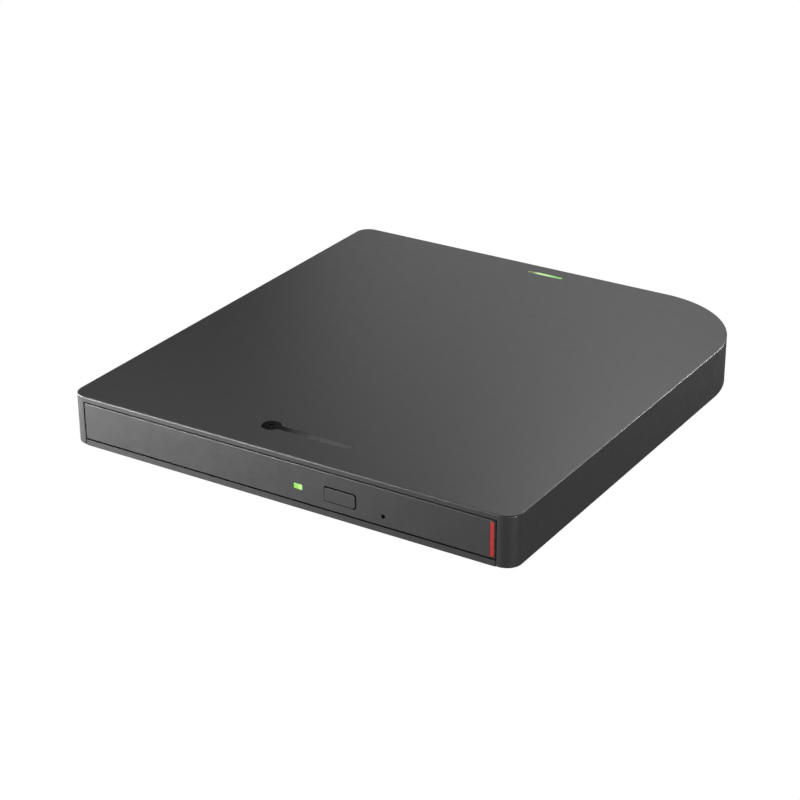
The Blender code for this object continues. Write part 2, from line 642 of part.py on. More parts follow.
def tray_bezel():
    z = (BEZEL_LOW, BEZEL_HIGH)
    bezel = box("tray_bezel", (BEZEL_LEFT, BEZEL_RIGHT), (FRONT, BEZEL_BACK), z, "bezel_plastic")
    bevel(bezel, 0.2 * MM)
    rim = 1.3 * MM
    inside_x = (BEZEL_LEFT + 2 * rim, BEZEL_RIGHT - 2 * rim)
    inside_z = (BEZEL_LOW + rim, BEZEL_HIGH - rim)
    cut(bezel, box("bezel_inside", inside_x, (FRONT + BEZEL_FACE, BEZEL_BACK + MM), inside_z))
    for number, x in enumerate(bezel_clip_places()):
        clip = box(
            f"bezel_clip_{number}", about(x, 6 * MM), (FRONT + BEZEL_FACE / 2, TRAY_FRONT + 1.4 * MM),
            (7.2 * MM, 8.5 * MM),
        )
        join(bezel, clip)

    # The button sits low and to the left in its hole.
    hole_x = (BUTTON_X - BUTTON_WIDTH / 2 - 0.12 * MM, BUTTON_X + BUTTON_WIDTH / 2 + 0.45 * MM)
    hole_z = (BUTTON_Z - BUTTON_HEIGHT / 2 - 0.15 * MM, BUTTON_Z + BUTTON_HEIGHT / 2 + 0.5 * MM)
    through = (FRONT - MM, FRONT + 2 * BEZEL_FACE)
    button_hole = rounded(hole_x, hole_z, [0.5 * MM, 0.9 * MM, 0.9 * MM, 0.5 * MM], 4)
    cut(bezel, prism("button_hole", button_hole, *through, axis="Y"))
    light_x = about(LIGHT_X, LIGHT_WIDTH + 2 * FIT_GAP)
    light_z = about(LIGHT_Z, LIGHT_HEIGHT + 2 * FIT_GAP)
    cut(bezel, box("light_hole", light_x, through, light_z))
    cut(bezel, rod("pinhole", PINHOLE_X, through, PINHOLE_Z, PINHOLE_RADIUS, steps=16))
    groove = accent_outline(FIT_GAP)
    cut(bezel, prism("accent_groove", groove, FRONT - MM, FRONT + 0.6 * MM, axis="Y"))
    return bezel


def accent_outline(grow=0.0):
    middle = (BEZEL_LOW + BEZEL_HIGH) / 2
    x = about(ACCENT_X, ACCENT_WIDTH + 2 * grow)
    z = about(middle, ACCENT_HEIGHT + 2 * grow)
    return rounded(x, z, ACCENT_WIDTH / 2 - FINE_GAP, 5)


def bezel_fittings():
    prism("accent_bar", accent_outline(), FRONT, FRONT + 0.6 * MM - FINE_GAP, "accent_red", "Y")
    light_y = (FRONT + 0.05 * MM, POCKET_FRONT - 0.3 * MM)
    light_z = about(LIGHT_Z, LIGHT_HEIGHT)
    box("activity_light_guide", about(LIGHT_X, LIGHT_WIDTH), light_y, light_z, "light_green")


def eject_button():
    x, z = about(BUTTON_X, BUTTON_WIDTH), about(BUTTON_Z, BUTTON_HEIGHT)
    cap_back, stem_back = FRONT + BEZEL_FACE, POCKET_FRONT - 1.9 * MM
    button = prism(
        "eject_button", rounded(x, z, [0.4 * MM, 0.8 * MM, 0.8 * MM, 0.4 * MM], 4), FRONT, cap_back,
        "bezel_plastic", "Y",
    )
    bevel(button, 0.15 * MM)
    stem_y = (cap_back - BEZEL_FACE / 2, stem_back)
    return join(button, box("button_stem", about(BUTTON_X, 6 * MM), stem_y, about(BUTTON_Z, 2.2 * MM)))


def button_board():
    """Upright board behind the bezel, with the switch that the eject button works."""
    board_y = (POCKET_FRONT + 0.1 * MM, POCKET_FRONT + 0.9 * MM)
    box("button_board", (3 * MM, 37 * MM), board_y, (5.6 * MM, 8.9 * MM), "board_green")
    part_back = board_y[0] - FINE_GAP
    switch_y = (part_back - 1.0 * MM, part_back)
    box(
        "eject_switch", about(BUTTON_X, 3.4 * MM), switch_y, about(BUTTON_Z - 0.3 * MM, 2.4 * MM),
        "dark_plastic",
    )


def tray_bottom_plate():
    """Sheet under the tray, with a notch over the connector board and small fixing holes."""
    plate_y = (TRAY_FRONT + 0.8 * MM, TRAY_BACK - 0.2 * MM)
    z = (TRAY_LOW - 0.45 * MM, TRAY_LOW - FINE_GAP)
    plate = box("tray_bottom_plate", about(0, 2 * (TRAY_BODY_HALF - 0.6 * MM)), plate_y, z, "sheet_steel")
    notch_x = about(SATA_X, 2 * SATA_HALF + 5 * MM)
    cut(plate, box("plate_notch", notch_x, (41.5 * MM, TRAY_BACK + MM), (0, TRAY_LOW + MM)))
    return plate


def tray_electronics():
    """The drive's main board in the rear half of the tray, its largest chip underneath."""
    board_z = (POCKET_ROOF - 1.0 * MM, POCKET_ROOF - 0.2 * MM)
    box("main_board", (-55 * MM, 29 * MM), (17 * MM, 41 * MM), board_z, "board_green")
    chip_z = (board_z[0] - 1.2 * MM, board_z[0] - FINE_GAP)
    box("main_board_chip", about(-30 * MM, 14 * MM), about(29 * MM, 14 * MM), chip_z, "dark_plastic")


# ---------------------------------------------------------------- traverse unit (in u, v)


def damper_places():
    return [(-15 * MM, -14 * MM), (-14 * MM, 21 * MM), (46 * MM, -22.8 * MM)]


def traverse_frame(axes):
    """Plate that holds the spindle motor, the guide shafts and the feed motor."""
    frame = prism("traverse_frame", traverse_outline(), FRAME_LOW, FRAME_HIGH, "sheet_steel", parent=axes)
    window = [
        (9 * MM, -16 * MM), (57.5 * MM, -16 * MM), (65.3 * MM, -9 * MM), (65.3 * MM, 9 * MM),
        (57.5 * MM, 16 * MM), (9 * MM, 16 * MM),
    ]
    through = (FRAME_LOW - MM, FRAME_HIGH + MM)
    cut(frame, prism("pickup_window", window, *through, parent=axes))
    cut(frame, rod("motor_hole", 0, 0, through, 12.2 * MM, parent=axes, steps=40))
    cut(frame, box("feed_slot", (0.6 * MM, 57.6 * MM), (19.6 * MM, 24.4 * MM), through, parent=axes))
    holder_z = (FRAME_HIGH - 0.5 * MM, SHAFT_Z + SHAFT_RADIUS + 0.2 * MM)
    for side in (-1, 1):
        for number, u in enumerate(((12.5 * MM, 15 * MM), (58.4 * MM, 60.6 * MM))):
            v = about(side * SHAFT_V, 3.2 * MM)
            join(frame, box(f"shaft_holder_{side}_{number}", u, v, holder_z, parent=axes))
        bore = rod(
            f"shaft_bore_{side}", (11 * MM, 62 * MM), side * SHAFT_V, SHAFT_Z, SHAFT_RADIUS + FINE_GAP,
            parent=axes,
        )
        cut(frame, bore)
    for number, (u, v) in enumerate(damper_places()):
        cut(frame, rod(f"damper_hole_{number}", u, v, through, 2.2 * MM, parent=axes))
    return frame


def traverse_dampers(axes):
    """Rubber grommets that carry the frame; a screw through each goes into the tray."""
    neck, flange, hole = 2.1 * MM, 3.0 * MM, 1.1 * MM
    low, high = FRAME_LOW - 0.6 * MM, FRAME_HIGH + 0.6 * MM
    seat_low, seat_high = FRAME_LOW - FINE_GAP, FRAME_HIGH + FINE_GAP
    profile = [(hole, low), (flange, low), (flange, seat_low), (neck, seat_low)]
    profile += [(neck, seat_high), (flange, seat_high), (flange, high), (hole, high)]
    for number, place in enumerate(damper_places()):
        turned(f"traverse_damper_{number + 1}", profile, "rubber", place, 20, axes)


def guide_shafts(axes):
    for name, side in (("guide_shaft_left", -1), ("guide_shaft_right", 1)):
        rod(name, (11.6 * MM, 61.2 * MM), side * SHAFT_V, SHAFT_Z, SHAFT_RADIUS, "bright_steel", axes)


def spindle_motor(axes):
    """Fixed base with the stator, and the turning part: rotor cup, turntable and hub."""
    base_low, base_high, bearing = 5.45 * MM, 5.9 * MM, 6.45 * MM
    base = [
        (0, base_low), (11.4 * MM, base_low), (11.4 * MM, base_high), (4 * MM, base_high),
        (4 * MM, bearing), (0, bearing),
    ]
    turned("spindle_motor_base", base, "sheet_steel", parent=axes)

    table, hub_radius, hub_top = 10.6 * MM, 7.4 * MM, 12.3 * MM
    rotor = [
        (0, 6.5 * MM), (10.8 * MM, 6.5 * MM), (11.2 * MM, 6.9 * MM), (11.2 * MM, 9.3 * MM),
        (13.6 * MM, 9.75 * MM),
    ]
    rotor += [(TURNTABLE_RADIUS, 10.0 * MM), (TURNTABLE_RADIUS, table), (hub_radius, table)]
    rotor += [
        (hub_radius, 11.8 * MM), (6.6 * MM, hub_top), (2.4 * MM, hub_top), (2.0 * MM, 11.9 * MM),
        (0, 11.9 * MM),
    ]
    spindle = turned("turntable", rotor, "dark_plastic", steps=48, parent=axes)
    slot_width, slot_inner = 3.2 * MM, 3.9 * MM
    for number, angle in enumerate(claw_angles()):
        slot = box(
            f"claw_slot_{number}", (slot_inner, 9 * MM), about(0, slot_width), (10.95 * MM, 12.0 * MM),
            parent=axes,
        )
        slot.rotation_euler = (0, 0, angle)
        cut(spindle, slot)
    mat_low, mat_high = table + 0.03 * MM, 10.9 * MM
    mat = [(10.3 * MM, mat_low), (14.1 * MM, mat_low), (14.1 * MM, mat_high), (10.3 * MM, mat_high)]
    turned("turntable_mat", mat, "rubber", steps=48, parent=axes)


def claw_angles():
    """Angles of the disc claws, measured from the pickup's way."""
    return [pi / 3 + 2 * pi * k / CLAW_COUNT for k in range(CLAW_COUNT)]


def chuck_claws(axes):
    """Three sprung claws that hold the disc by its hole; each slides towards the spindle."""
    tail, nose, width = 4.7 * MM, 7.9 * MM, 2.8 * MM
    for number, angle in enumerate(claw_angles()):
        outline = [(tail, -width / 2), (nose - 0.6 * MM, -width / 2), (nose, -width / 4)]
        outline += [(nose, width / 4), (nose - 0.6 * MM, width / 2), (tail, width / 2)]
        claw = prism(
            f"chuck_claw_{number + 1}", outline, 11.0 * MM, 11.85 * MM, "pale_plastic", parent=axes,
        )
        claw.rotation_euler = (0, 0, angle)


def pickup(axes):
    """Die-cast sled on the two shafts, with the nut that follows the lead screw and the lens holder."""
    inner, outer = LENS_U - 10 * MM, LENS_U + 6.5 * MM
    body = [(inner, -14.5 * MM), (outer - 5.5 * MM, -14.5 * MM), (outer, -8.5 * MM)]
    body += [(outer, 8.5 * MM), (outer - 5.5 * MM, 14.5 * MM), (inner, 14.5 * MM)]
    sled = prism("pickup_sled", body, 5.6 * MM, 9.55 * MM, "die_cast", parent=axes)
    arm_u, arm_z = (LENS_U - 7 * MM, LENS_U + 0.7 * MM), (FRAME_HIGH + 0.1 * MM, 9.4 * MM)
    for side in (-1, 1):
        arm_v = sorted((side * 14 * MM, side * 19.4 * MM))
        join(sled, box(f"sled_arm_{side}", arm_u, arm_v, arm_z, parent=axes))
        bore_u = (arm_u[0] - MM, arm_u[1] + MM)
        cut(
            sled,
            rod(f"sled_bore_{side}", bore_u, side * SHAFT_V, SHAFT_Z, SHAFT_RADIUS + FINE_GAP, parent=axes),
        )
    cut(
        sled,
        rod("spindle_clearance", 0, 0, (5 * MM, 10 * MM), TURNTABLE_RADIUS + 0.5 * MM, parent=axes, steps=48),
    )
    well_u, well_v = about(LENS_U - 0.5 * MM, 11 * MM), about(0, 13.4 * MM)
    cut(sled, box("lens_well", well_u, well_v, (6.8 * MM, 11 * MM), parent=axes))

    nut_u, nut_v = (LENS_U - 6.6 * MM, LENS_U - 1.4 * MM), (19 * MM, SCREW_V - SCREW_RADIUS - FINE_GAP)
    join(sled, box("feed_nut", nut_u, nut_v, (7.15 * MM, 9.2 * MM), parent=axes))

    holder_outline = rounded(about(LENS_U, 8 * MM), about(0, 9.6 * MM), 1.2 * MM, 3)
    holder = prism("lens_holder", holder_outline, 7.4 * MM, 9.9 * MM, "dark_plastic", parent=axes)
    cut(holder, rod("lens_seat", LENS_U, 0, (9.3 * MM, 11 * MM), 2.35 * MM, parent=axes, steps=24))
    lens_base, lens_edge, lens_top, lens_radius = 9.35 * MM, 9.85 * MM, 10.25 * MM, 2.25 * MM
    slopes = (0, radians(30), radians(60))
    dome = [(lens_radius * cos(a), lens_edge + (lens_top - lens_edge) * sin(a)) for a in slopes]
    profile = [(0, lens_base), (lens_radius, lens_base), *dome, (0, lens_top)]
    turned("objective_lens", profile, "lens_glass", (LENS_U, 0), 24, axes)


def feed_drive(axes):
    """Stepper motor, its long bracket and the lead screw."""
    v = about(SCREW_V, 4.2 * MM)
    low, top, plate = 5.4 * MM, 9.3 * MM, 0.5 * MM
    ends = ((11.7 * MM, 12.2 * MM), (56.6 * MM, 57.1 * MM))
    bracket = box(
        "feed_bracket", (1.4 * MM, ends[1][1]), v, (low, low + plate - FINE_GAP), "sheet_steel", axes,
    )
    for number, u in enumerate(ends):
        join(bracket, box(f"bracket_end_{number}", u, v, (low + plate / 4, top), parent=axes))
        bore_u = (u[0] - MM / 4, u[1] + MM / 4)
        cut(bracket, rod(f"bracket_bore_{number}", bore_u, SCREW_V, SCREW_Z, 0.75 * MM, parent=axes))
    motor_z = SCREW_Z + 0.3 * MM
    rod(
        "feed_motor", (1.6 * MM, ends[0][0] - FINE_GAP), SCREW_V, motor_z, 2.05 * MM, "sheet_steel", axes,
        20,
    )

    journal, start, stop = 0.65 * MM, ends[0][1] + 0.2 * MM, ends[1][0] - 0.2 * MM
    screw = rod("lead_screw", (start, stop), SCREW_V, SCREW_Z, SCREW_RADIUS, "bright_steel", axes, 12)
    journal_u = (ends[0][0] + FINE_GAP, ends[1][1] + 0.3 * MM)
    join(screw, rod("screw_journal", journal_u, SCREW_V, SCREW_Z, journal, parent=axes, steps=12))


def shield_plate(axes):
    """Thin plate over the traverse unit, open over the turntable and along the pickup's way."""
    outline = [
        (-19.5 * MM, -19.5 * MM), (40.2 * MM, -19.5 * MM), (40.2 * MM, -26.1 * MM), (51.8 * MM, -26.1 * MM),
    ]
    outline += [(51.8 * MM, -19.5 * MM), (59.8 * MM, -19.5 * MM), (67 * MM, -9.8 * MM), (67 * MM, 9.8 * MM)]
    outline += [
        (59.8 * MM, 18.8 * MM), (16 * MM, 18.8 * MM), (0, 18.8 * MM), (-3 * MM, 26.5 * MM),
        (-19.5 * MM, 26.5 * MM),
    ]
    plate = prism("shield_plate", outline, SHIELD_LOW, SHIELD_HIGH, "sheet_steel", parent=axes)
    through = (SHIELD_LOW - MM, SHIELD_HIGH + MM)
    slot = [
        (6 * MM, -15.2 * MM), (58 * MM, -15.2 * MM), (65 * MM, -9.2 * MM), (65 * MM, 9.2 * MM),
        (58 * MM, 15.2 * MM), (6 * MM, 15.2 * MM),
    ]
    cut(plate, prism("shield_slot", slot, *through, parent=axes))
    return cut(
        plate, rod("shield_hub_hole", 0, 0, through, TURNTABLE_RADIUS + 0.6 * MM, parent=axes, steps=48),
    )


# ---------------------------------------------------------------- latch


def latch():
    """Hook that holds the closed tray, and the solenoid that pulls it clear."""
    arm_left, arm_right = 49.2 * MM, 52.4 * MM
    hook_front, hook_back = LATCH_PIN_Y + 1.1 * MM, LATCH_PIN_Y + 2.1 * MM
    outline = [
        (48 * MM, 36 * MM), (52 * MM, 36 * MM), (arm_right, 42 * MM), (53.2 * MM, 48 * MM),
        (53.2 * MM, hook_front),
    ]
    outline += [
        (55.2 * MM, hook_front), (54.8 * MM, hook_back), (51.6 * MM, hook_back), (51.2 * MM, 48 * MM),
        (arm_left, 42 * MM),
    ]
    hook = prism("latch_hook", outline, LATCH_LOW, LATCH_HIGH, "dark_plastic")
    bore_z = (LATCH_LOW - MM, LATCH_HIGH + MM)
    cut(hook, rod("latch_bore", LATCH_X, LATCH_Y, bore_z, 1.2 * MM + FINE_GAP, steps=16))
    cut(
        hook,
        box(
            "plunger_slot", (48 * MM, 51.5 * MM), about(43 * MM, 1.4 * MM),
            (LATCH_LOW - MM, LATCH_HIGH + MM),
        ),
    )

    coil = box(
        "latch_solenoid", (33 * MM, 43.5 * MM), (39.6 * MM, POCKET_BACK - 0.1 * MM), (5.5 * MM, 8.8 * MM),
        "dark_plastic",
    )
    bore_x = (41 * MM, 44.5 * MM)
    cut(coil, rod("solenoid_bore", bore_x, 43 * MM, 7.1 * MM, 0.75 * MM, steps=16))
    rod("solenoid_plunger", (42 * MM, 50.9 * MM), 43 * MM, 7.1 * MM, 0.5 * MM, "bright_steel", steps=12)


def main():
    clear_scene()
    axes = traverse_axes()
    top_cover()
    badge_inlay()
    status_light_guide()
    bottom_cover()
    rubber_feet()
    case_screws()
    foam_pad()

    bridge_board()
    bridge_chip()
    usb_socket()
    sata_receptacle()

    drive_chassis()
    drive_lid()
    for side_name, side in (("left", -1), ("right", 1)):
        rail_guide(f"rail_guide_{side_name}", side)
        tray_rail(f"tray_rail_{side_name}", side)
    drive_connector()
    flex_cables()

    disc_tray(axes)
    tray_bezel()
    bezel_fittings()
    eject_button()
    button_board()
    tray_bottom_plate()
    tray_electronics()

    traverse_frame(axes)
    traverse_dampers(axes)
    guide_shafts(axes)
    spindle_motor(axes)
    chuck_claws(axes)
    pickup(axes)
    feed_drive(axes)
    shield_plate(axes)
    latch()


main()
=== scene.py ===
"""Looks of a slim external disc drive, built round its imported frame.

Shapes are worked out in millimetres and turned into metres when a piece is finished.
"""

from math import cos, pi, radians, sin

import bmesh
import bpy
from mathutils import Matrix, Vector


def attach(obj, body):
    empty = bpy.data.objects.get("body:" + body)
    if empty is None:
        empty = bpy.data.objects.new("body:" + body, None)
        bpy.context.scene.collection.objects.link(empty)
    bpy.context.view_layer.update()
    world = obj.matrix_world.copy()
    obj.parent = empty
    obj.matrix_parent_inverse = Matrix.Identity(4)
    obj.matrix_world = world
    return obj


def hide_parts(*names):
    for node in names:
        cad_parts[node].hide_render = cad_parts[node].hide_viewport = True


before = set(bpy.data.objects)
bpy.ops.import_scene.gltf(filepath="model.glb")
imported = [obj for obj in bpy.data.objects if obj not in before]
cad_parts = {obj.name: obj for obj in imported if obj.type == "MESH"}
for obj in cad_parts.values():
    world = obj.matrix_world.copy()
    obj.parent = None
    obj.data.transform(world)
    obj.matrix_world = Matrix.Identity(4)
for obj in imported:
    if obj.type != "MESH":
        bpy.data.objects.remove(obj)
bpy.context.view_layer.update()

# --- Sizes, the same as in the frame, in millimetres ---
CASE_BOTTOM, CASE_TOP = 0.7, 16.0
RIGHT, FRONT, REAR = 72.5, -77.25, 77.25
CORNER, BIG_CORNER = 4.6, 32.0
WALL = 1.4
ROOF_UNDERSIDE = CASE_TOP - WALL
PANEL_LOW, PANEL_HIGH = CASE_BOTTOM + 0.15, CASE_BOTTOM + 0.15 + WALL
OPENING_LEFT, OPENING_RIGHT, OPENING_TOP, SILL_TOP = -67.98, 67.4, 14.33, 2.5
SEAM = 0.35
BEZEL_LEFT, BEZEL_RIGHT = OPENING_LEFT + SEAM, OPENING_RIGHT - SEAM
BEZEL_LOW, BEZEL_HIGH, BEZEL_BACK = 2.85, 13.98, FRONT + 3.2
CLIP_PLACES = (-48, -16, 48)
BUTTON_X, BUTTON_Z, BUTTON_WIDTH, BUTTON_HEIGHT = 19.15, 7.37, 9.8, 3.96
GAP_LEFT, GAP_RIGHT, GAP_LOW, GAP_HIGH = 0.12, 0.45, 0.15, 0.5
LIGHT_X, LIGHT_Z, LIGHT_WIDTH, LIGHT_HEIGHT = 5.65, 7.25, 2.8, 1.6
PINHOLE_X, PINHOLE_Z, PINHOLE_RADIUS = 32.9, 5.75, 0.65
ACCENT_X, ACCENT_WIDTH, ACCENT_HEIGHT = 66.05, 1.35, 10.4
STATUS_X, STATUS_Y, STATUS_LENGTH, STATUS_WIDTH = 0.25, 71.4, 12.5, 1.4
BADGE_Y, BADGE_RING_X, BADGE_RING_RADIUS, BADGE_RIGHT, BADGE_BAR = -64.6, -11.5, 2.8, 15.3, 2.2
SCREW_PLACES = [(-67.4, -60), (67.4, -60), (-67.4, 66), (60, 61)]
TRAY_SCREW_PLACES = [(-54, -66), (54, -66), (55, 42), (-54, 34), (0, -68)]
FOOT_PLACES = [(-60, -65), (60, -65), (-60, 64), (48, 59)]
FOOT_RADIUS = 4.3
USB_X, USB_Z, USB_WIDTH, USB_HEIGHT = 20.0, 6.9, 8.94, 3.26
TRAY_FRONT, TRAY_BACK = FRONT + 3.5, 48.6
TRAY_LOW, TRAY_STEP, TRAY_HIGH, DISC_FLOOR = 5.3, 9.7, 11.9, 10.0
TRAY_BODY_HALF, TRAY_FLANGE_HALF = 60.4, 62.2
RAIL_LOW, RAIL_HIGH, RAIL_IN, RAIL_OUT = 6.6, 8.4, 59.2, 61.4
SATA_X = -20.0
HUB_X, HUB_Y, WAY_ANGLE = -2.0, -11.5, radians(228)

# In the traverse unit's own (u, v), with the hub at (0, 0) and the pickup travelling along u
LENS_U = 23.0
SHIELD_SCREW_PLACES = [(-15, -14), (-14, 21), (46, -22.8)]
CLAW_ANGLES = [pi / 3 + 2 * pi * k / 3 for k in range(3)]

MM = 0.001
WORLD = Matrix.Identity(4)
TRAVERSE = Matrix.Translation((HUB_X, HUB_Y, 0)) @ Matrix.Rotation(WAY_ANGLE, 4, "Z")


# ---------------------------------------------------------------- shapes


def rectangle(x, y):
    return [(x[0], y[0]), (x[1], y[0]), (x[1], y[1]), (x[0], y[1])]


def about(middle, size):
    return middle - size / 2, middle + size / 2


def rounded(x, y, radii, steps=8):
    """A rectangle with rounded corners, from the low-x low-y corner round to the low-x high-y one."""
    if not isinstance(radii, (list, tuple)):
        radii = [radii] * 4
    corners = [(x[0], y[0], 1, 1, 180), (x[1], y[0], -1, 1, 270)]
    corners += [(x[1], y[1], -1, -1, 0), (x[0], y[1], 1, -1, 90)]
    points = []
    for (cx, cy, sx, sy, start), radius in zip(corners, radii):
        count = steps * 5 if radius > 20 else steps
        for k in range(count + 1):
            t = radians(start + 90 * k / count)
            points.append((cx + sx * radius + radius * cos(t), cy + sy * radius + radius * sin(t)))
    return points


def circle(x, y, radius, steps=40):
    turns = [2 * pi * k / steps for k in range(steps)]
    return [(x + radius * cos(t), y + radius * sin(t)) for t in turns]


def stadium(x, y, length, width, steps=10):
    return rounded(about(x, length), about(y, width), width / 2, steps)


def case_outline(inset=0.0):
    radii = [CORNER - inset, CORNER - inset, BIG_CORNER - inset, CORNER - inset]
    return rounded((-RIGHT + inset, RIGHT - inset), (FRONT + inset, REAR - inset), radii, 12)


def add_prism(bm, outline, low, high, axis="Z"):
    """Adds a prism: the outline's points are (x, y) for axis Z, (x, z) for Y and (y, z) for X."""
    place = {
        "Z": lambda a, b, c: (a, b, c),
        "Y": lambda a, b, c: (a, c, b),
        "X": lambda a, b, c: (c, a, b),
    }[axis]
    rings = [[bm.verts.new(place(a, b, c)) for a, b in outline] for c in (low, high)]
    bm.faces.new(list(reversed(rings[0])))
    bm.faces.new(rings[1])
    count = len(outline)
    for i in range(count):
        j = (i + 1) % count
        bm.faces.new((rings[0][i], rings[0][j], rings[1][j], rings[1][i]))


def add_turned(bm, profile, centre=(0, 0), steps=48):
    """Adds a solid turned about a vertical axis, from (radius, z) points.

    The points either start and end on the axis, or go round a closed section away from it.
    """
    turns = [2 * pi * k / steps for k in range(steps)]
    rings = []
    for radius, z in profile:
        if radius == 0:
            rings.append([bm.verts.new((centre[0], centre[1], z))])
            continue
        ring = [(centre[0] + radius * cos(t), centre[1] + radius * sin(t), z) for t in turns]
        rings.append([bm.verts.new(point) for point in ring])
    pairs = list(zip(rings, rings[1:]))
    if profile[0][0] != 0:
        pairs.append((rings[-1], rings[0]))
    for one, other in pairs:
        for k in range(steps):
            n = (k + 1) % steps
            if len(one) == 1:
                bm.faces.new((one[0], other[n], other[k]))
            elif len(other) == 1:
                bm.faces.new((one[k], one[n], other[0]))
            else:
                bm.faces.new((one[k], one[n], other[n], other[k]))


class Shape:
    """One mesh under construction, in millimetres; prisms and turned solids are added to it."""

    def __init__(self, name):
        self.name = name
        self.bm = bmesh.new()

    def prism(self, outline, low, high, axis="Z"):
        add_prism(self.bm, outline, low, high, axis)
        return self

    def box(self, x, y, z):
        return self.prism(rectangle(x, y), z[0], z[1])

    def disc(self, x, y, radius, z, steps=40):
        return self.prism(circle(x, y, radius, steps), z[0], z[1])

    def turned(self, profile, centre=(0, 0), steps=48):
        add_turned(self.bm, profile, centre, steps)
        return self

    def made(self):
        bmesh.ops.recalc_face_normals(self.bm, faces=self.bm.faces)
        mesh = bpy.data.meshes.new(self.name)
        self.bm.to_mesh(mesh)
        self.bm.free()
        obj = bpy.data.objects.new(self.name, mesh)
        bpy.context.scene.collection.objects.link(obj)
        return obj


def bake(obj):
    """Turns the object's modifiers into plain mesh."""
    graph = bpy.context.evaluated_depsgraph_get()
    mesh = bpy.data.meshes.new_from_object(
        obj.evaluated_get(graph), preserve_all_data_layers=True, depsgraph=graph
    )
    obj.modifiers.clear()
    obj.data = mesh
    return obj


def boolean(obj, tool, operation):
    """Applies a boolean with a Shape, which is used up."""
    other = tool.made()
    modifier = obj.modifiers.new("join", "BOOLEAN")
    modifier.object = other
    modifier.operation = operation
    modifier.solver = "EXACT"
    modifier.use_self = True
    bake(obj)
    bpy.data.objects.remove(other, do_unlink=True)
    return obj


def cut(obj, tool):
    return boolean(obj, tool, "DIFFERENCE")


def join(obj, tool):
    return boolean(obj, tool, "UNION")


def soften(obj, width, segments=2, angle=50):
    """Rounds every edge sharper than the angle in degrees, and keeps the flat faces flat."""
    modifier = obj.modifiers.new("edges", "BEVEL")
    modifier.width = width
    modifier.segments = segments
    modifier.limit_method = "ANGLE"
    modifier.angle_limit = radians(angle)
    modifier.harden_normals = True
    return bake(obj)


def smooth(obj, angle=40):
    obj.data.shade_smooth()
    obj.data.set_sharp_from_angle(angle=radians(angle))
    return obj


def finish(obj, material, body, nodes=(), axes=WORLD):
    """Puts a piece in its place in metres, on its body, in place of the frame's nodes."""
    obj.data.transform(Matrix.Scale(MM, 4) @ axes)
    obj.data.materials.clear()
    obj.data.materials.append(material)
    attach(obj, body)
    if nodes:
        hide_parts(*nodes)
    return obj


# ---------------------------------------------------------------- materials


class Surface:
    """A material under construction: a Principled shader and the textures wired to it."""

    def __init__(self, name, colour, roughness, metallic=0.0):
        self.material = bpy.data.materials.new(name)
        self.material.use_nodes = True
        self.tree = self.material.node_tree
        self.shader = self.tree.nodes["Principled BSDF"]
        self.colour, self.roughness = colour, roughness
        self.shader.inputs["Base Color"].default_value = (*colour, 1.0)
        self.shader.inputs["Roughness"].default_value = roughness
        self.shader.inputs["Metallic"].default_value = metallic
        self.place = self.node("ShaderNodeTexCoord").outputs["Object"]

    def node(self, kind, **values):
        made = self.tree.nodes.new(kind)
        for key, value in values.items():
            setattr(made, key, value)
        return made

    def link(self, source, target):
        self.tree.links.new(source, target)

    def set(self, **values):
        for key, value in values.items():
            self.shader.inputs[key.replace("_", " ")].default_value = value
        return self

    def noise(self, scale, detail=2.0, stretch=(1, 1, 1)):
        """A noise value; scale is in cells to the metre, stretch multiplies it along each axis."""
        mapping = self.node("ShaderNodeMapping")
        mapping.inputs["Scale"].default_value = stretch
        self.link(self.place, mapping.inputs["Vector"])
        texture = self.node("ShaderNodeTexNoise")
        texture.inputs["Scale"].default_value = scale
        texture.inputs["Detail"].default_value = detail
        self.link(mapping.outputs["Vector"], texture.inputs["Vector"])
        return texture.outputs["Fac"]

    def spread(self, value, low, high):
        """The value's middle part, stretched to run from low to high."""
        made = self.node("ShaderNodeMapRange")
        made.inputs["From Min"].default_value = 0.3
        made.inputs["From Max"].default_value = 0.7
        made.inputs["To Min"].default_value = low
        made.inputs["To Max"].default_value = high
        self.link(value, made.inputs["Value"])
        return made.outputs["Result"]

    def mottle(self, value, amount):
        """Colour that varies with the value, by a share of itself."""
        dark = tuple(c * (1 - amount) for c in self.colour)
        light = tuple(min(1.0, c * (1 + amount)) for c in self.colour)
        mix = self.node("ShaderNodeMix", data_type="RGBA")
        mix.inputs["A"].default_value = (*dark, 1.0)
        mix.inputs["B"].default_value = (*light, 1.0)
        self.link(value, mix.inputs["Factor"])
        self.link(mix.outputs["Result"], self.shader.inputs["Base Color"])
        return self

    def rough(self, value, change):
        """Roughness that varies with the value, by the change either way."""
        low, high = self.roughness - change, self.roughness + change
        self.link(self.spread(value, low, high), self.shader.inputs["Roughness"])
        return self

    def bump(self, value, strength, distance=0.00005):
        made = self.node("ShaderNodeBump")
        made.inputs["Strength"].default_value = strength
        made.inputs["Distance"].default_value = distance
        self.link(value, made.inputs["Height"])
        self.link(made.outputs["Normal"], self.shader.inputs["Normal"])
        return self


def moulded(name, colour, roughness, grain=2600, depth=0.25, fleck=0.1):
    """Injection-moulded plastic with a fine spark-eroded grain."""
    surface = Surface(name, colour, roughness)
    fine = surface.noise(grain, 3.0)
    surface.mottle(surface.spread(fine, 0.0, 1.0), fleck)
    surface.rough(surface.noise(grain / 6), 0.02)
    return surface.bump(fine, depth)


def sheet_metal(name, colour, roughness, stretch=(1, 30, 1)):
    """Rolled sheet with a faint grain along one axis."""
    surface = Surface(name, colour, roughness, 1.0)
    grain = surface.noise(300, 4.0, stretch)
    surface.mottle(surface.spread(grain, 0.0, 1.0), 0.08)
    surface.rough(surface.noise(90), 0.07)
    return surface.bump(grain, 0.08)


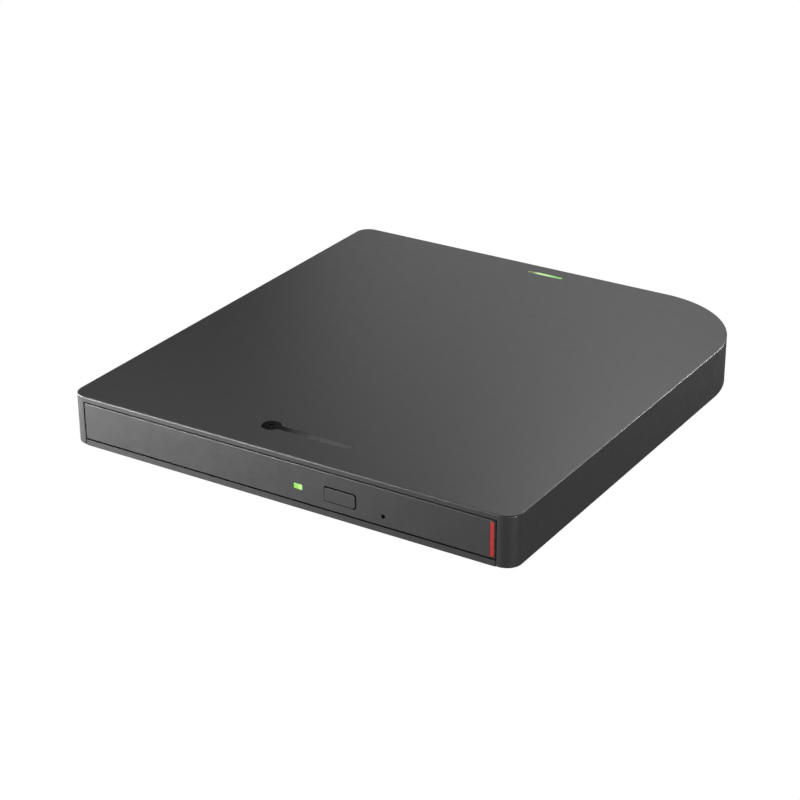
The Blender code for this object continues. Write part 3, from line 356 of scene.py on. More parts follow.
def circuit(name, colour):
    """Solder mask over copper tracks, which show as slightly lighter lines."""
    surface = Surface(name, colour, 0.4)
    tracks = surface.node("ShaderNodeTexBrick")
    tracks.inputs["Scale"].default_value = 420
    tracks.inputs["Mortar Size"].default_value = 0.03
    tracks.inputs["Color1"].default_value = (*colour, 1.0)
    tracks.inputs["Color2"].default_value = (*(c * 1.25 for c in colour), 1.0)
    tracks.inputs["Mortar"].default_value = (*(c * 2.2 for c in colour), 1.0)
    surface.link(surface.place, tracks.inputs["Vector"])
    surface.link(tracks.outputs["Color"], surface.shader.inputs["Base Color"])
    return surface.bump(surface.noise(1500), 0.08)


def lamp_glass(name, axis_range, colours):
    """Light guide that glows; its colours are (place, colour), from 0 at the left to 1 at the right."""
    surface = Surface(name, (0.05, 0.12, 0.03), 0.25)
    split = surface.node("ShaderNodeSeparateXYZ")
    surface.link(surface.place, split.inputs["Vector"])
    along = surface.node("ShaderNodeMapRange")
    along.inputs["From Min"].default_value = axis_range[0] * MM
    along.inputs["From Max"].default_value = axis_range[1] * MM
    surface.link(split.outputs["X"], along.inputs["Value"])
    ramp = surface.node("ShaderNodeValToRGB")
    stops = ramp.color_ramp.elements
    while len(stops) < len(colours):
        stops.new(0.5)
    for stop, (place, colour) in zip(stops, colours):
        stop.position = place
        stop.color = (*colour, 1.0)
    surface.link(along.outputs["Result"], ramp.inputs["Fac"])
    surface.link(ramp.outputs["Color"], surface.shader.inputs["Emission Color"])
    surface.mottle(surface.noise(1200), 0.2)
    surface.set(Emission_Strength=1.0)
    return surface.bump(surface.noise(900), 0.1)


case_plastic = moulded("case_plastic", (0.032, 0.032, 0.0325), 0.34, 2200, 0.4, 0.14).material
bezel_plastic = moulded("bezel_plastic", (0.032, 0.032, 0.0325), 0.34, 2200, 0.4, 0.14).material
tray_plastic = moulded("tray_plastic", (0.022, 0.022, 0.024), 0.5, 1800, 0.35).material
dark_plastic = moulded("dark_plastic", (0.015, 0.015, 0.016), 0.42, 1500, 0.15).material
pale_plastic = moulded("pale_plastic", (0.7, 0.68, 0.62), 0.45, 1500, 0.1, 0.04).material
foot_rubber = moulded("foot_rubber", (0.02, 0.02, 0.02), 0.85, 1200, 0.5, 0.2).material
foam = moulded("foam", (0.03, 0.03, 0.03), 0.95, 1000, 1.0, 0.5).material
accent_red = moulded("accent_red", (0.27, 0.004, 0.003), 0.5, 1800, 0.1, 0.05).material
badge_gloss = moulded("badge_gloss", (0.006, 0.006, 0.006), 0.12, 600, 0.02, 0.1).material
steel = sheet_metal("steel", (0.55, 0.56, 0.57), 0.34).material
bright_steel = sheet_metal("bright_steel", (0.72, 0.72, 0.72), 0.18, (1, 1, 8)).material
black_steel = sheet_metal("black_steel", (0.05, 0.05, 0.052), 0.4, (3, 3, 3)).material
gold = sheet_metal("gold", (0.85, 0.6, 0.25), 0.25, (1, 1, 1)).material
die_cast = sheet_metal("die_cast", (0.38, 0.39, 0.4), 0.48, (4, 4, 4)).material
board_green = circuit("board_green", (0.012, 0.075, 0.035)).material
flex_film = moulded("flex_film", (0.32, 0.13, 0.03), 0.3, 500, 0.05, 0.15).material
STATUS_COLOURS = [
    (0.0, (0.12, 0.13, 0.03)),
    (0.16, (0.1, 0.1, 0.03)),
    (0.3, (0.5, 0.7, 0.33)),
    (0.6, (0.42, 0.7, 0.28)),
    (0.85, (0.12, 0.5, 0.09)),
    (1.0, (0.25, 0.38, 0.1)),
]
LIGHT_COLOURS = [
    (0.0, (0.22, 0.5, 0.06)),
    (0.45, (0.3, 0.6, 0.1)),
    (0.7, (0.45, 0.72, 0.24)),
    (1.0, (0.52, 0.75, 0.33)),
]
status_glow = lamp_glass("status_glow", about(STATUS_X, STATUS_LENGTH), STATUS_COLOURS).material
activity_glow = lamp_glass("activity_glow", about(LIGHT_X, LIGHT_WIDTH), LIGHT_COLOURS).material
glass = Surface("lens_glass", (0.25, 0.3, 0.55), 0.04)
glass.set(Coat_Weight=1.0, Coat_Roughness=0.02)
glass.rough(glass.noise(400), 0.02)
lens_glass = glass.material


# ---------------------------------------------------------------- case


def badge_shapes(shape, low, high, grow=0.0):
    """A disc with one plain bar running out of it."""
    end = BADGE_RIGHT + grow
    radii = [0, BADGE_BAR / 2, BADGE_BAR / 2, 0]
    shape.disc(BADGE_RING_X, BADGE_Y, BADGE_RING_RADIUS + grow, (low, high), 64)
    bar = rounded((BADGE_RING_X, end), about(BADGE_Y, BADGE_BAR + 2 * grow), radii, 10)
    return shape.prism(bar, low, high)


def case_top():
    cover = Shape("case_top").prism(case_outline(), CASE_BOTTOM, CASE_TOP).made()
    soften(cover, 0.4, 3)
    cut(cover, Shape("inside").prism(case_outline(WALL), CASE_BOTTOM - 1, ROOF_UNDERSIDE))
    opening = Shape("opening")
    opening.box((OPENING_LEFT, OPENING_RIGHT), (FRONT - 2, FRONT + 2), (CASE_BOTTOM - 1, OPENING_TOP))
    cut(cover, opening)
    bosses = Shape("bosses")
    for x, y in SCREW_PLACES:
        bosses.disc(x, y, 2.6, (PANEL_HIGH + 0.1, ROOF_UNDERSIDE + 0.5), 24)
    join(cover, bosses)

    holes = Shape("holes")
    for x, y in SCREW_PLACES:
        holes.disc(x, y, 1.3, (0, PANEL_HIGH + 6), 20)
    holes.prism(stadium(USB_X, USB_Z, USB_WIDTH + 0.7, USB_HEIGHT + 0.7, 12), REAR - 3, REAR + 1, "Y")
    status = stadium(STATUS_X, STATUS_Y, STATUS_LENGTH + 0.16, STATUS_WIDTH + 0.16, 12)
    holes.prism(status, ROOF_UNDERSIDE - 1, CASE_TOP + 1)
    cut(cover, holes)
    cut(cover, badge_shapes(Shape("badge_recess"), CASE_TOP - 0.4, CASE_TOP + 1, 0.06))
    soften(cover, 0.08, 2, 60)
    finish(cover, case_plastic, "case", ["top_cover"])


def badge():
    low, high = CASE_TOP - 0.38, CASE_TOP - 0.04
    inlay = Shape("badge").disc(BADGE_RING_X, BADGE_Y, BADGE_RING_RADIUS, (low, high), 64).made()
    bar = rounded((BADGE_RING_X, BADGE_RIGHT), about(BADGE_Y, BADGE_BAR), [0, 1.09, 1.09, 0], 10)
    join(inlay, Shape("bar").prism(bar, low, high))
    cut(inlay, Shape("hole").disc(BADGE_RING_X, BADGE_Y, 0.75, (low - 1, high + 1), 32))
    soften(inlay, 0.05, 2)
    finish(inlay, badge_gloss, "case", ["badge_inlay"])


def status_light():
    blade = stadium(STATUS_X, STATUS_Y, STATUS_LENGTH, STATUS_WIDTH, 12)
    guide = Shape("status_light").prism(blade, 6.6, CASE_TOP - 0.06).made()
    soften(guide, 0.12, 3, 60)
    finish(guide, status_glow, "case", ["status_light_guide"])


def case_bottom():
    panel = Shape("case_bottom").prism(case_outline(WALL + 0.2), PANEL_LOW, PANEL_HIGH).made()
    soften(panel, 0.2, 2)
    sill_x = (OPENING_LEFT + 0.28, OPENING_RIGHT - 0.28)
    join(panel, Shape("sill").box(sill_x, (FRONT, FRONT + 2.6), (CASE_BOTTOM, SILL_TOP)))
    posts = Shape("posts")
    for x, y in ((-50, -55), (50, -55), (-50, 40), (50, 40)):
        posts.disc(x, y, 3.0, (PANEL_LOW + 0.7, 3.6), 32)
    for x, y in ((-39, 71), (32, 59.5)):
        posts.disc(x, y, 2.2, (PANEL_LOW + 0.7, 4.15), 32)
    for side in (-1, 1):
        for y in (-45, 35):
            posts.box(about(side * 64.7, 1.2), about(y, 12), (PANEL_LOW + 0.7, 7.5))
    join(panel, posts)

    recesses = Shape("recesses")
    for x, y in SCREW_PLACES:
        recesses.disc(x, y, 2.5, (0, PANEL_LOW + 0.75), 40)
    for x, y in FOOT_PLACES:
        recesses.disc(x, y, FOOT_RADIUS + 0.15, (0, PANEL_LOW + 0.4), 56)
    recesses.prism(rounded(about(0, 84), about(-6, 46), 2, 8), 0, PANEL_LOW + 0.15)
    for number in range(7):
        x = -8 + (number - 3) * 5
        recesses.prism(rounded(about(x, 1.6), about(64.5, 13), 0.8, 6), 0, PANEL_HIGH + 1)
    cut(panel, recesses)
    shanks = Shape("shank_holes")
    for x, y in SCREW_PLACES:
        shanks.disc(x, y, 1.3, (0, PANEL_HIGH + 1), 24)
    cut(panel, shanks)
    soften(panel, 0.12, 2, 60)
    finish(panel, case_plastic, "case", ["bottom_cover"])


def feet():
    top = PANEL_LOW + 0.35
    profile = [(0, 0.0), (3.0, 0.0), (3.75, 0.05), (4.1, 0.2), (4.27, 0.42)]
    profile += [(FOOT_RADIUS, 0.6), (FOOT_RADIUS, top), (0, top)]
    for number, place in enumerate(FOOT_PLACES):
        foot = smooth(Shape(f"foot_{number + 1}").turned(profile, place, 64).made(), 60)
        finish(foot, foot_rubber, "case", [f"rubber_foot_{number + 1}"])


def cross_recess(shape, x, y, low, high, arm, half):
    """Adds the cross of a screw's drive: arm is half its length, half is half an arm's width."""
    cross = [(half, half), (half, arm), (-half, arm), (-half, half), (-arm, half), (-arm, -half)]
    cross += [(-half, -half), (-half, -arm), (half, -arm), (half, -half), (arm, -half), (arm, half)]
    return shape.prism([(x + a, y + b) for a, b in cross], low, high)


def case_screws():
    head, seat, tip = PANEL_LOW + 0.05, PANEL_LOW + 0.7, PANEL_LOW + 6.2
    for number, (x, y) in enumerate(SCREW_PLACES):
        profile = [(0, head), (1.7, head), (2.05, head + 0.1), (2.2, head + 0.3)]
        profile += [(2.2, seat), (1.15, seat)]
        z = seat
        while z < tip - 0.7:
            profile += [(1.15, z + 0.15), (0.9, z + 0.4)]
            z += 0.55
        profile += [(0.6, tip), (0, tip)]
        screw = Shape(f"screw_{number + 1}").turned(profile, (x, y), 32).made()
        cut(screw, cross_recess(Shape("recess"), x, y, head - 1, head + 0.45, 1.25, 0.28))
        smooth(screw)
        finish(screw, black_steel, "case", [f"case_screw_{number + 1}"])


def usb_socket():
    front, back = REAR - 7.4, REAR - 0.25
    outside = stadium(USB_X, USB_Z, USB_WIDTH, USB_HEIGHT, 14)
    shell = Shape("usb_shell").prism(outside, front, back, "Y").made()
    mouth = stadium(USB_X, USB_Z, USB_WIDTH - 0.6, USB_HEIGHT - 0.6, 14)
    cut(shell, Shape("mouth").prism(mouth, front + 1.2, back + 1, "Y"))
    soften(shell, 0.1, 2, 60)
    finish(shell, bright_steel, "case", ["usb_socket_shell"])
    tongue = Shape("usb_tongue").box(about(USB_X, 6.7), (front + 1.25, back - 0.7), about(USB_Z, 0.7))
    tongue = soften(tongue.made(), 0.15, 3)
    finish(tongue, dark_plastic, "case", ["usb_socket_tongue"])
    contacts = Shape("usb_contacts")
    for number in range(12):
        x = USB_X + (number - 5.5) * 0.5
        for z in (USB_Z - 0.36, USB_Z + 0.36):
            contacts.box(about(x, 0.26), (front + 1.6, back - 1.2), about(z, 0.05))
    finish(contacts.made(), gold, "case")


# ---------------------------------------------------------------- bezel


def accent_outline(grow=0.0):
    middle = (BEZEL_LOW + BEZEL_HIGH) / 2
    x = about(ACCENT_X, ACCENT_WIDTH + 2 * grow)
    return rounded(x, about(middle, ACCENT_HEIGHT + 2 * grow), ACCENT_WIDTH / 2 - 0.05, 10)


def bezel():
    y = (FRONT, BEZEL_BACK)
    face = Shape("bezel").box((BEZEL_LEFT, BEZEL_RIGHT), y, (BEZEL_LOW, BEZEL_HIGH)).made()
    soften(face, 0.22, 3)
    x, z = (BEZEL_LEFT + 2.6, BEZEL_RIGHT - 2.6), (BEZEL_LOW + 1.3, BEZEL_HIGH - 1.3)
    cut(face, Shape("inside").box(x, (FRONT + 1.5, BEZEL_BACK + 1), z))
    clips = Shape("clips")
    for x in CLIP_PLACES:
        clips.box(about(x, 6), (FRONT + 0.8, TRAY_FRONT + 1.4), (7.2, 8.5))
    join(face, clips)
    through = (FRONT - 1, FRONT + 3)
    hole_x = (BUTTON_X - BUTTON_WIDTH / 2 - GAP_LEFT, BUTTON_X + BUTTON_WIDTH / 2 + GAP_RIGHT)
    hole_z = (BUTTON_Z - BUTTON_HEIGHT / 2 - GAP_LOW, BUTTON_Z + BUTTON_HEIGHT / 2 + GAP_HIGH)
    holes = Shape("holes").prism(rounded(hole_x, hole_z, [0.5, 0.9, 0.9, 0.5], 8), *through, "Y")
    light_z = about(LIGHT_Z, LIGHT_HEIGHT + 0.16)
    holes.prism(rounded(about(LIGHT_X, LIGHT_WIDTH + 0.16), light_z, 0.12, 4), *through, "Y")
    holes.prism(circle(PINHOLE_X, PINHOLE_Z, PINHOLE_RADIUS, 32), *through, "Y")
    cut(face, holes)
    cut(face, Shape("groove").prism(accent_outline(0.06), FRONT - 1, FRONT + 0.6, "Y"))
    soften(face, 0.06, 2, 60)
    finish(face, bezel_plastic, "tray", ["tray_bezel"])


def bezel_fittings():
    bar = Shape("accent").prism(accent_outline(), FRONT + 0.02, FRONT + 0.55, "Y").made()
    soften(bar, 0.15, 3, 60)
    finish(bar, accent_red, "tray", ["accent_bar"])
    x, z = about(LIGHT_X, LIGHT_WIDTH), about(LIGHT_Z, LIGHT_HEIGHT)
    light = Shape("activity_light").prism(rounded(x, z, 0.1, 4), FRONT + 0.1, FRONT + 5.4, "Y").made()
    soften(light, 0.1, 3, 60)
    finish(light, activity_glow, "tray", ["activity_light_guide"])
    x, z = about(BUTTON_X, BUTTON_WIDTH), about(BUTTON_Z, BUTTON_HEIGHT)
    outline = rounded(x, z, [0.4, 0.8, 0.8, 0.4], 8)
    button = Shape("button").prism(outline, FRONT, FRONT + 1.5, "Y").made()
    soften(button, 0.09, 3, 60)
    stem_y = (FRONT + 0.75, TRAY_FRONT + 0.35)
    join(button, Shape("stem").box(about(BUTTON_X, 6), stem_y, about(BUTTON_Z, 2.2)))
    finish(button, bezel_plastic, "eject_button", ["eject_button"])


# ---------------------------------------------------------------- tray


def traverse_opening():
    """The tray's opening over the traverse unit, in (u, v)."""
    points = [(-20.8, -20.8), (39.2, -20.8), (39.2, -27.4), (52.8, -27.4), (52.8, -20.8), (60.8, -20.8)]
    return points + [(68.3, -10.8), (68.3, 10.8), (58.8, 24.8), (52, 27.8), (-20.8, 27.8)]


def placed(outline, axes):
    """The outline moved from (u, v) into x and y."""
    return [tuple((axes @ Vector((a, b, 0)))[:2]) for a, b in outline]


def disc_tray():
    half, flange = TRAY_BODY_HALF, TRAY_FLANGE_HALF
    section = [(half, TRAY_LOW), (half, TRAY_STEP), (flange, TRAY_STEP), (flange, TRAY_HIGH)]
    section = [(-x, z) for x, z in reversed(section)] + section
    tray = Shape("tray").prism(section, TRAY_FRONT, TRAY_BACK, "Y").made()
    cut(tray, Shape("recess").disc(HUB_X, HUB_Y, 60.6, (DISC_FLOOR, 14), 180))
    cut(tray, Shape("small_recess").disc(HUB_X, HUB_Y, 40.6, (DISC_FLOOR - 0.4, 14), 120))
    pocket = Shape("pocket").box((-57.5, 57.5), (TRAY_FRONT + 2.25, TRAY_BACK - 2.2), (0, 9.0))
    cut(tray, pocket)
    cut(tray, Shape("opening").prism(placed(traverse_opening(), TRAVERSE), 0, DISC_FLOOR + 1))
    slots = Shape("slots")
    for side in (-1, 1):
        x = sorted((side * (RAIL_IN - 0.2), side * (half + 1)))
        slots.box(x, (TRAY_FRONT + 2, TRAY_BACK + 1), (RAIL_LOW - 0.2, RAIL_HIGH + 0.2))
    slots.box(about(SATA_X, 38), (41.5, TRAY_BACK + 1), (0, 9.3))
    slots.box((47.5, 57), (TRAY_BACK - 3.2, TRAY_BACK + 1), (0, 8.8))
    slots.box((2, 38), (TRAY_FRONT - 1, TRAY_FRONT + 3.25), (0, 9.3))
    for x in CLIP_PLACES:
        slots.box(about(x, 7), (TRAY_FRONT - 1, TRAY_FRONT + 3.25), (7, 8.9))
    cut(tray, slots)
    ridges = Shape("ridges")
    for x, y in ((-58.4, -66), (56, -66), (56.5, 40), (-57.5, 40)):
        ridges.disc(x, y, 1.6, (TRAY_HIGH - 0.3, TRAY_HIGH + 0.25), 32)
    join(tray, ridges)
    soften(tray, 0.12, 2, 50)
    finish(tray, tray_plastic, "tray", ["disc_tray"])


def tray_plate():
    low, high = TRAY_LOW - 0.45, TRAY_LOW - 0.05
    y = (TRAY_FRONT + 0.8, TRAY_BACK - 0.2)
    plate = Shape("tray_plate").box(about(0, 119.6), y, (low, high)).made()
    cut(plate, Shape("notch").box(about(SATA_X, 38), (41.5, TRAY_BACK + 1), (0, 9)))
    marks = Shape("pressings")
    pressings = ((30, 5, 34, 40), (-38, -45, 26, 30), (28, -45, 40, 22), (-32, 22, 44, 26))
    for x, y, width, depth in pressings:
        marks.prism(rounded(about(x, width), about(y, depth), 3, 8), 0, low + 0.12)
    cut(plate, marks)
    holes = Shape("holes")
    for x, y in TRAY_SCREW_PLACES:
        holes.disc(x, y, 1.7, (0, high + 1), 28)
    cut(plate, holes)
    soften(plate, 0.06, 2, 50)
    finish(plate, steel, "tray", ["tray_bottom_plate"])
    heads = Shape("tray_screws")
    for x, y in TRAY_SCREW_PLACES:
        profile = [(0, low + 0.05), (1.1, low + 0.05), (1.45, low + 0.15), (1.5, high), (0, high)]
        heads.turned(profile, (x, y), 28)
    screws = heads.made()
    recesses = Shape("recesses")
    for x, y in TRAY_SCREW_PLACES:
        cross_recess(recesses, x, y, 0, low + 0.28, 0.8, 0.18)
    cut(screws, recesses)
    finish(smooth(screws), black_steel, "tray")


def rails():
    web, lip_low, lip_high = 0.7, RAIL_LOW + 0.5, RAIL_HIGH - 0.5
    points = [(RAIL_IN, RAIL_LOW), (RAIL_OUT, RAIL_LOW), (RAIL_OUT, RAIL_HIGH), (RAIL_IN, RAIL_HIGH)]
    points += [(RAIL_IN, lip_high), (RAIL_OUT - web, lip_high)]
    points += [(RAIL_OUT - web, lip_low), (RAIL_IN, lip_low)]
    front, back = FRONT + 7.05, 48.0
    for name, side in (("left", -1), ("right", 1)):
        section = [(side * x, z) for x, z in points]
        rail = Shape(f"rail_{name}").prism(section, front, back, "Y").made()
        slots = Shape("slots")
        for y in (-50, -20, 10, 36):
            x = sorted((side * (RAIL_OUT - 1.2), side * (RAIL_OUT + 1)))
            slots.prism(rounded(about(y, 7), about(7.5, 0.7), 0.3, 5), *x, "X")
        cut(rail, slots)
        soften(rail, 0.1, 2, 50)
        finish(rail, steel, f"rail_{name}", [f"tray_rail_{name}"])


# ---------------------------------------------------------------- traverse unit, in (u, v)


def shield():
    outline = [(-19.5, -19.5), (40.2, -19.5), (40.2, -26.1), (51.8, -26.1), (51.8, -19.5), (59.8, -19.5)]
    outline += [(67, -9.8), (67, 9.8), (59.8, 18.8), (16, 18.8), (0, 18.8), (-3, 26.5), (-19.5, 26.5)]
    plate = Shape("shield").prism(outline, 9.6, 9.9).made()
    slot = [(6, -15.2), (58, -15.2), (65, -9.2), (65, 9.2), (58, 15.2), (6, 15.2)]
    cut(plate, Shape("slot").prism(slot, 8, 11))
    cut(plate, Shape("hub_hole").disc(0, 0, 15, (8, 11), 96))
    lines = Shape("pressings")
    lines.prism(stadium(37, 17.1, 38, 0.7), 9.82, 11)
    lines.prism(stadium(30, -17.4, 24, 0.7), 9.82, 11)
    for u, v in SHIELD_SCREW_PLACES:
        lines.disc(u, v, 2.5, (9.72, 11), 36)
    cut(plate, lines)
    soften(plate, 0.06, 2, 40)
    finish(plate, steel, "tray", ["shield_plate"], TRAVERSE)
    heads = Shape("shield_screws")
    for u, v in SHIELD_SCREW_PLACES:
        profile = [(0, 9.73), (1.6, 9.73), (1.65, 9.9), (1.3, 10.0), (0, 10.0)]
        heads.turned(profile, (u, v), 32)
    screws = heads.made()
    recesses = Shape("recesses")
    for u, v in SHIELD_SCREW_PLACES:
        cross_recess(recesses, u, v, 9.8, 11, 0.9, 0.2)
    cut(screws, recesses)
    finish(smooth(screws), bright_steel, "tray", axes=TRAVERSE)


def spindle():
    table, hub_top = 10.6, 12.3
    rotor = [(0, 6.5), (10.8, 6.5), (11.1, 6.6), (11.2, 6.9), (11.2, 9.3), (13.6, 9.75), (14.25, 9.9)]
    rotor += [(14.4, 10.05), (14.4, 10.5), (14.3, table), (10.2, table), (10.1, 10.5), (7.6, 10.5)]
    rotor += [(7.4, 10.7), (7.4, 11.8), (7.25, 12.0), (6.6, hub_top), (3.2, hub_top), (2.9, 12.2)]
    rotor += [(2.7, 11.9), (1.3, 11.9), (1.2, 12.0), (0, 12.0)]
    hub = Shape("spindle_hub").turned(rotor, (0, 0), 128).made()
    slots = Shape("claw_slots")
    for angle in CLAW_ANGLES:
        turn = Matrix.Rotation(angle, 4, "Z")
        slots.prism(placed(rectangle((3.9, 9), about(0, 3.2)), turn), 10.95, 12.0)
        slots.prism(placed(rectangle((4.6, 9), about(0, 1.2)), turn), 11.9, 12.6)
    cut(hub, slots)
    smooth(hub, 35)
    finish(hub, dark_plastic, "spindle", ["turntable"], TRAVERSE)
    mat = [(10.3, 10.63), (14.1, 10.63), (14.1, 10.8), (14.0, 10.9)]
    for k in range(5):
        groove = ((13.4, 10.9), (13.3, 10.84), (13.1, 10.84), (13.0, 10.9))
        mat += [(radius - 0.6 * k, z) for radius, z in groove]
    mat += [(10.4, 10.9), (10.3, 10.8)]
    ring = smooth(Shape("spindle_mat").turned(mat, (0, 0), 128).made(), 35)
    finish(ring, foot_rubber, "spindle", ["turntable_mat"], TRAVERSE)


def claws():
    profile = [(4.7, 11.0), (7.3, 11.0), (7.9, 11.3), (7.9, 11.5), (7.2, 11.85), (4.7, 11.85)]
    for number, angle in enumerate(CLAW_ANGLES, 1):
        claw = Shape(f"claw_{number}").prism(profile, -1.4, 1.4, "Y").made()
        soften(claw, 0.15, 3, 30)
        axes = TRAVERSE @ Matrix.Rotation(angle, 4, "Z")
        finish(claw, pale_plastic, f"claw_{number}", [f"chuck_claw_{number}"], axes)


def sled():
    inner, outer = LENS_U - 10, LENS_U + 6.5
    body = [(inner, -14.5), (outer - 5.5, -14.5), (outer, -8.5)]
    body += [(outer, 8.5), (outer - 5.5, 14.5), (inner, 14.5)]
    made = Shape("sled").prism(body, 5.6, 9.55).made()
    arms = Shape("arms")
    for side in (-1, 1):
        arms.box((LENS_U - 7, LENS_U + 0.7), sorted((side * 14, side * 19.4)), (7.1, 9.4))
    arms.box((LENS_U - 6.6, LENS_U - 1.4), (19, 20.85), (7.15, 9.2))
    join(made, arms)
    cut(made, Shape("spindle_room").disc(0, 0, 14.9, (4, 11), 96))
    wells = Shape("wells").box(about(LENS_U - 0.5, 11), about(0, 13.4), (6.8, 11))
    for v in (-11, 11):
        wells.prism(rounded(about(LENS_U - 0.5, 8), about(v, 4), 0.8, 6), 9.1, 11)
    wells.prism(rounded((LENS_U - 6.9, LENS_U - 6.3), about(0, 9), 0.25, 4), 9.2, 11)
    cut(made, wells)
    bores = Shape("bores")
    for side in (-1, 1):
        bores.prism(circle(side * 17.8, 8.2, 1.05, 28), LENS_U - 8, LENS_U + 2, "X")
    cut(made, bores)
    soften(made, 0.18, 2, 40)
    finish(made, die_cast, "pickup", ["pickup_sled"], TRAVERSE)

    film, low, high = Shape("sled_film"), 9.57, 9.66
    patch = [(17.6, 7.4), (27.6, 7.4), (27.6, 9.8), (24.0, 13.6), (17.6, 13.6)]
    for side in (-1, 1):
        film.prism([(u, side * v) for u, v in patch], low, high)
    film.prism(rounded((LENS_U + 5.4, LENS_U + 6.2), (-8, 8), 0.3, 4), low, high)
    finish(soften(film.made(), 0.03, 1), flex_film, "pickup", axes=TRAVERSE)
    parts = Shape("sled_parts")
    places = ((20.5, 10, 3, 2.2), (25, 11.5, 1.6, 0.8), (25, 9.4, 1.6, 0.8), (21, -10.5, 3.6, 3))
    for u, v, width, depth in places:
        parts.box(about(u, width), about(v, depth), (9.67, 9.84))
    finish(soften(parts.made(), 0.05, 2), dark_plastic, "pickup", axes=TRAVERSE)


def lens():
    holder = Shape("lens_mount").prism(rounded(about(LENS_U, 8), about(0, 9.6), 1.2, 8), 7.4, 9.9).made()
    collar = [(0, 9.5), (3.1, 9.5), (3.1, 10.0), (2.9, 10.1), (0, 10.1)]
    join(holder, Shape("collar").turned(collar, (LENS_U, 0), 56))
    cut(holder, Shape("seat").disc(LENS_U, 0, 2.35, (9.3, 12), 56))
    soften(holder, 0.1, 2, 50)
    finish(holder, dark_plastic, "lens", ["lens_holder"], TRAVERSE)
    radius, rim, rise = 2.25, 9.85, 0.4
    dome = [(radius * cos(radians(a)), rim + rise * sin(radians(a))) for a in range(0, 90, 10)]
    profile = [(0, 9.36), (radius, 9.36), *dome, (0, rim + rise)]
    eye = Shape("lens_eye").turned(profile, (LENS_U, 0), 64).made()
    finish(smooth(eye), lens_glass, "lens", ["objective_lens"], TRAVERSE)
    coil = Shape("lens_coils")
    for v in (-5.6, 5.6):
        coil.prism(rounded(about(LENS_U, 6.4), about(v, 1.2), 0.5, 6), 7.6, 9.4)
    finish(soften(coil.made(), 0.15, 3), gold, "lens", axes=TRAVERSE)


# ---------------------------------------------------------------- nodes kept from the frame


def keep(nodes, material, edge=0.08):
    """Gives nodes of the frame a finished surface and softened edges."""
    for name in nodes:
        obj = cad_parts[name]
        obj.data.materials.clear()
        obj.data.materials.append(material)
        if edge:
            modifier = obj.modifiers.new("edges", "BEVEL")
            modifier.width = edge * MM
            modifier.segments = 2
            modifier.limit_method = "ANGLE"
            modifier.angle_limit = radians(50)
            modifier.harden_normals = True


def kept_nodes():
    keep(["bridge_chip", "sata_receptacle", "sata_plug", "rail_guide_left"], dark_plastic)
    keep(["rail_guide_right", "eject_switch", "main_board_chip", "latch_hook"], dark_plastic)
    keep(["latch_solenoid"], dark_plastic)
    keep(["drive_chassis", "drive_lid", "traverse_frame"], steel)
    keep(["spindle_motor_base", "feed_bracket", "feed_motor"], steel)
    keep(["guide_shaft_left", "guide_shaft_right", "solenoid_plunger", "lead_screw"], bright_steel)
    keep(["bridge_board", "connector_board", "button_board", "main_board"], board_green, 0.05)
    keep(["traverse_damper_1", "traverse_damper_2", "traverse_damper_3"], foot_rubber)
    keep(["flex_cable_fixed", "flex_cable_moving"], flex_film, 0)
    keep(["foam_pad"], foam, 0.3)


# ---------------------------------------------------------------- stage

CAMERA_TURN, CAMERA_HEIGHT, CAMERA_ROLL = radians(32.105), radians(25.396), radians(-0.283)
CAMERA_TARGET, CAMERA_DISTANCE, CAMERA_LENS = Vector((-0.00706, -0.0048, 0.00059)), 0.6635, 99.9

# Strength of the floor and of the room as light sources; the camera sees both at full strength
FLOOR_GLOW, ROOM_GLOW = 0.025, 0.02
FLOOR_GAP = 0.0001  # keeps the floor off the faces of the feet

# Each light: name, turn from the front towards the right, height, distance, width and height of its
# face, power. The lights for the walls are strips lower than the case, so that none of their light
# grazes the top.
STRIP = 0.013
SOFTBOXES = [
    ("front_left", -34, 0, 0.35, 0.16, STRIP, 1.45),
    ("left", -60, 0, 0.28, 0.12, STRIP, 1.5),
    ("back_left", 205, 20, 0.7, 0.3, 0.3, 0.23),
    ("back_right", 165, 28, 0.7, 0.3, 0.3, 0.6),
    ("high_back", 190, 45, 0.7, 0.25, 0.25, 1.05),
    ("low_right", 150, 15, 0.7, 0.25, 0.25, 0.9),
    ("low_back", 140, 0, 0.32, 0.12, STRIP, 0.38),
    ("corner", 74, 0, 0.7, 0.08, STRIP, 2.5),
    ("front_right", 50, 0, 0.7, 0.12, STRIP, 1.1),
    ("high_left", -49, 50, 0.7, 0.12, 0.12, 1.3),
    ("left_fill", -125, 40, 0.7, 0.25, 0.25, 0.26),
]
LIGHT_AIM = Vector((0, 0, 0.008))


def camera():
    data = bpy.data.cameras.new("camera")
    data.lens = CAMERA_LENS
    data.sensor_width = 36
    data.clip_start, data.clip_end = 0.01, 20
    back = Vector((
        sin(CAMERA_TURN) * cos(CAMERA_HEIGHT),
        -cos(CAMERA_TURN) * cos(CAMERA_HEIGHT),
        sin(CAMERA_HEIGHT),
    ))
    right = Vector((0, 0, 1)).cross(back).normalized()
    up = back.cross(right)
    side = cos(CAMERA_ROLL) * right + sin(CAMERA_ROLL) * up
    top = cos(CAMERA_ROLL) * up - sin(CAMERA_ROLL) * right
    obj = bpy.data.objects.new("camera", data)
    place = Matrix.Translation(CAMERA_TARGET + back * CAMERA_DISTANCE)
    obj.matrix_world = place @ Matrix((side, top, back)).transposed().to_4x4()
    bpy.context.scene.collection.objects.link(obj)
    bpy.context.scene.camera = obj


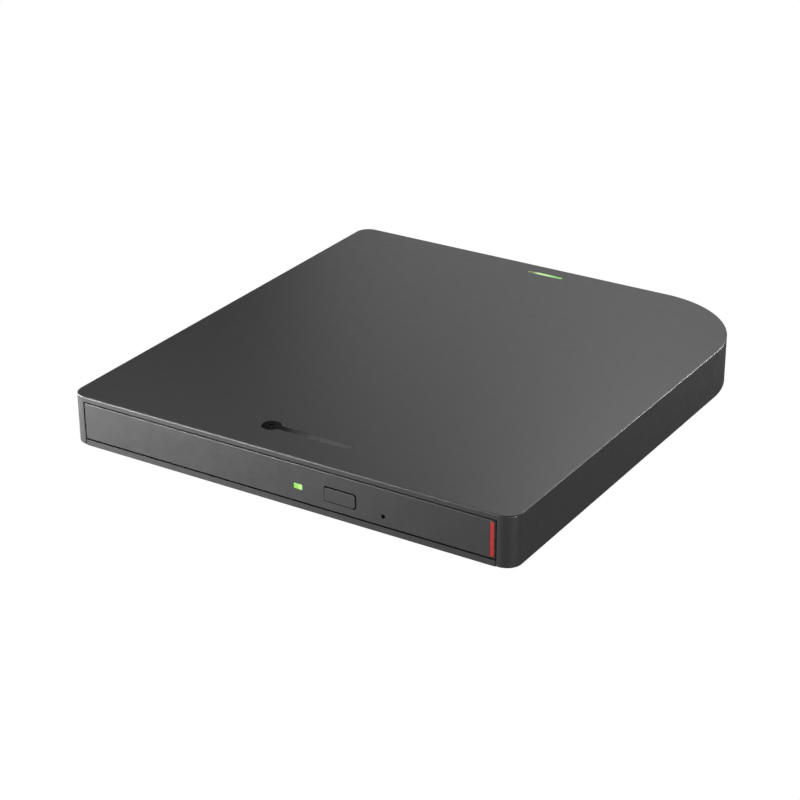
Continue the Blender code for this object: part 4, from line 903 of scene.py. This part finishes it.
def softbox(name, turn, height, distance, width, tall, power):
    data = bpy.data.lights.new(name, "AREA")
    data.shape = "RECTANGLE"
    data.size, data.size_y = width, tall
    data.energy = power
    obj = bpy.data.objects.new(name, data)
    level = Vector((sin(turn) * cos(height), -cos(turn) * cos(height), sin(height)))
    aim = (-level).to_track_quat("-Z", "Y").to_matrix().to_4x4()
    obj.matrix_world = Matrix.Translation(LIGHT_AIM + level * distance) @ aim
    bpy.context.scene.collection.objects.link(obj)


def only_seen(tree, socket, seen, lit):
    """One strength for what the camera sees directly, another for the light that reaches the object."""
    path = tree.nodes.new("ShaderNodeLightPath")
    choose = tree.nodes.new("ShaderNodeMapRange")
    choose.inputs["To Min"].default_value = lit
    choose.inputs["To Max"].default_value = seen
    tree.links.new(path.outputs["Is Camera Ray"], choose.inputs["Value"])
    tree.links.new(choose.outputs["Result"], socket)


def stage():
    """White floor and room, which light the object less than they look, and the softboxes."""
    bm = bmesh.new()
    bmesh.ops.create_grid(bm, x_segments=1, y_segments=1, size=3.0)
    mesh = bpy.data.meshes.new("floor")
    bm.to_mesh(mesh)
    bm.free()
    floor = bpy.data.objects.new("floor", mesh)
    floor.location.z = -FLOOR_GAP
    bpy.context.scene.collection.objects.link(floor)
    surface = Surface("floor", (0.8, 0.8, 0.8), 0.9)
    glow = surface.node("ShaderNodeEmission")
    only_seen(surface.tree, glow.inputs["Strength"], 1.0, FLOOR_GLOW)
    surface.link(glow.outputs["Emission"], surface.tree.nodes["Material Output"].inputs["Surface"])
    mesh.materials.append(surface.material)

    world = bpy.data.worlds.new("room")
    bpy.context.scene.world = world
    world.use_nodes = True
    tree = world.node_tree
    tree.nodes["Background"].inputs["Color"].default_value = (1, 1, 1, 1)
    only_seen(tree, tree.nodes["Background"].inputs["Strength"], 1.0, ROOM_GLOW)

    for name, turn, height, distance, width, tall, power in SOFTBOXES:
        softbox(name, radians(turn), radians(height), distance, width, tall, power)


def main():
    case_top()
    badge()
    status_light()
    case_bottom()
    feet()
    case_screws()
    usb_socket()
    bezel()
    bezel_fittings()
    disc_tray()
    tray_plate()
    rails()
    shield()
    spindle()
    claws()
    sled()
    lens()
    kept_nodes()
    camera()
    stage()
    bpy.context.scene.view_settings.view_transform = "Standard"


main()
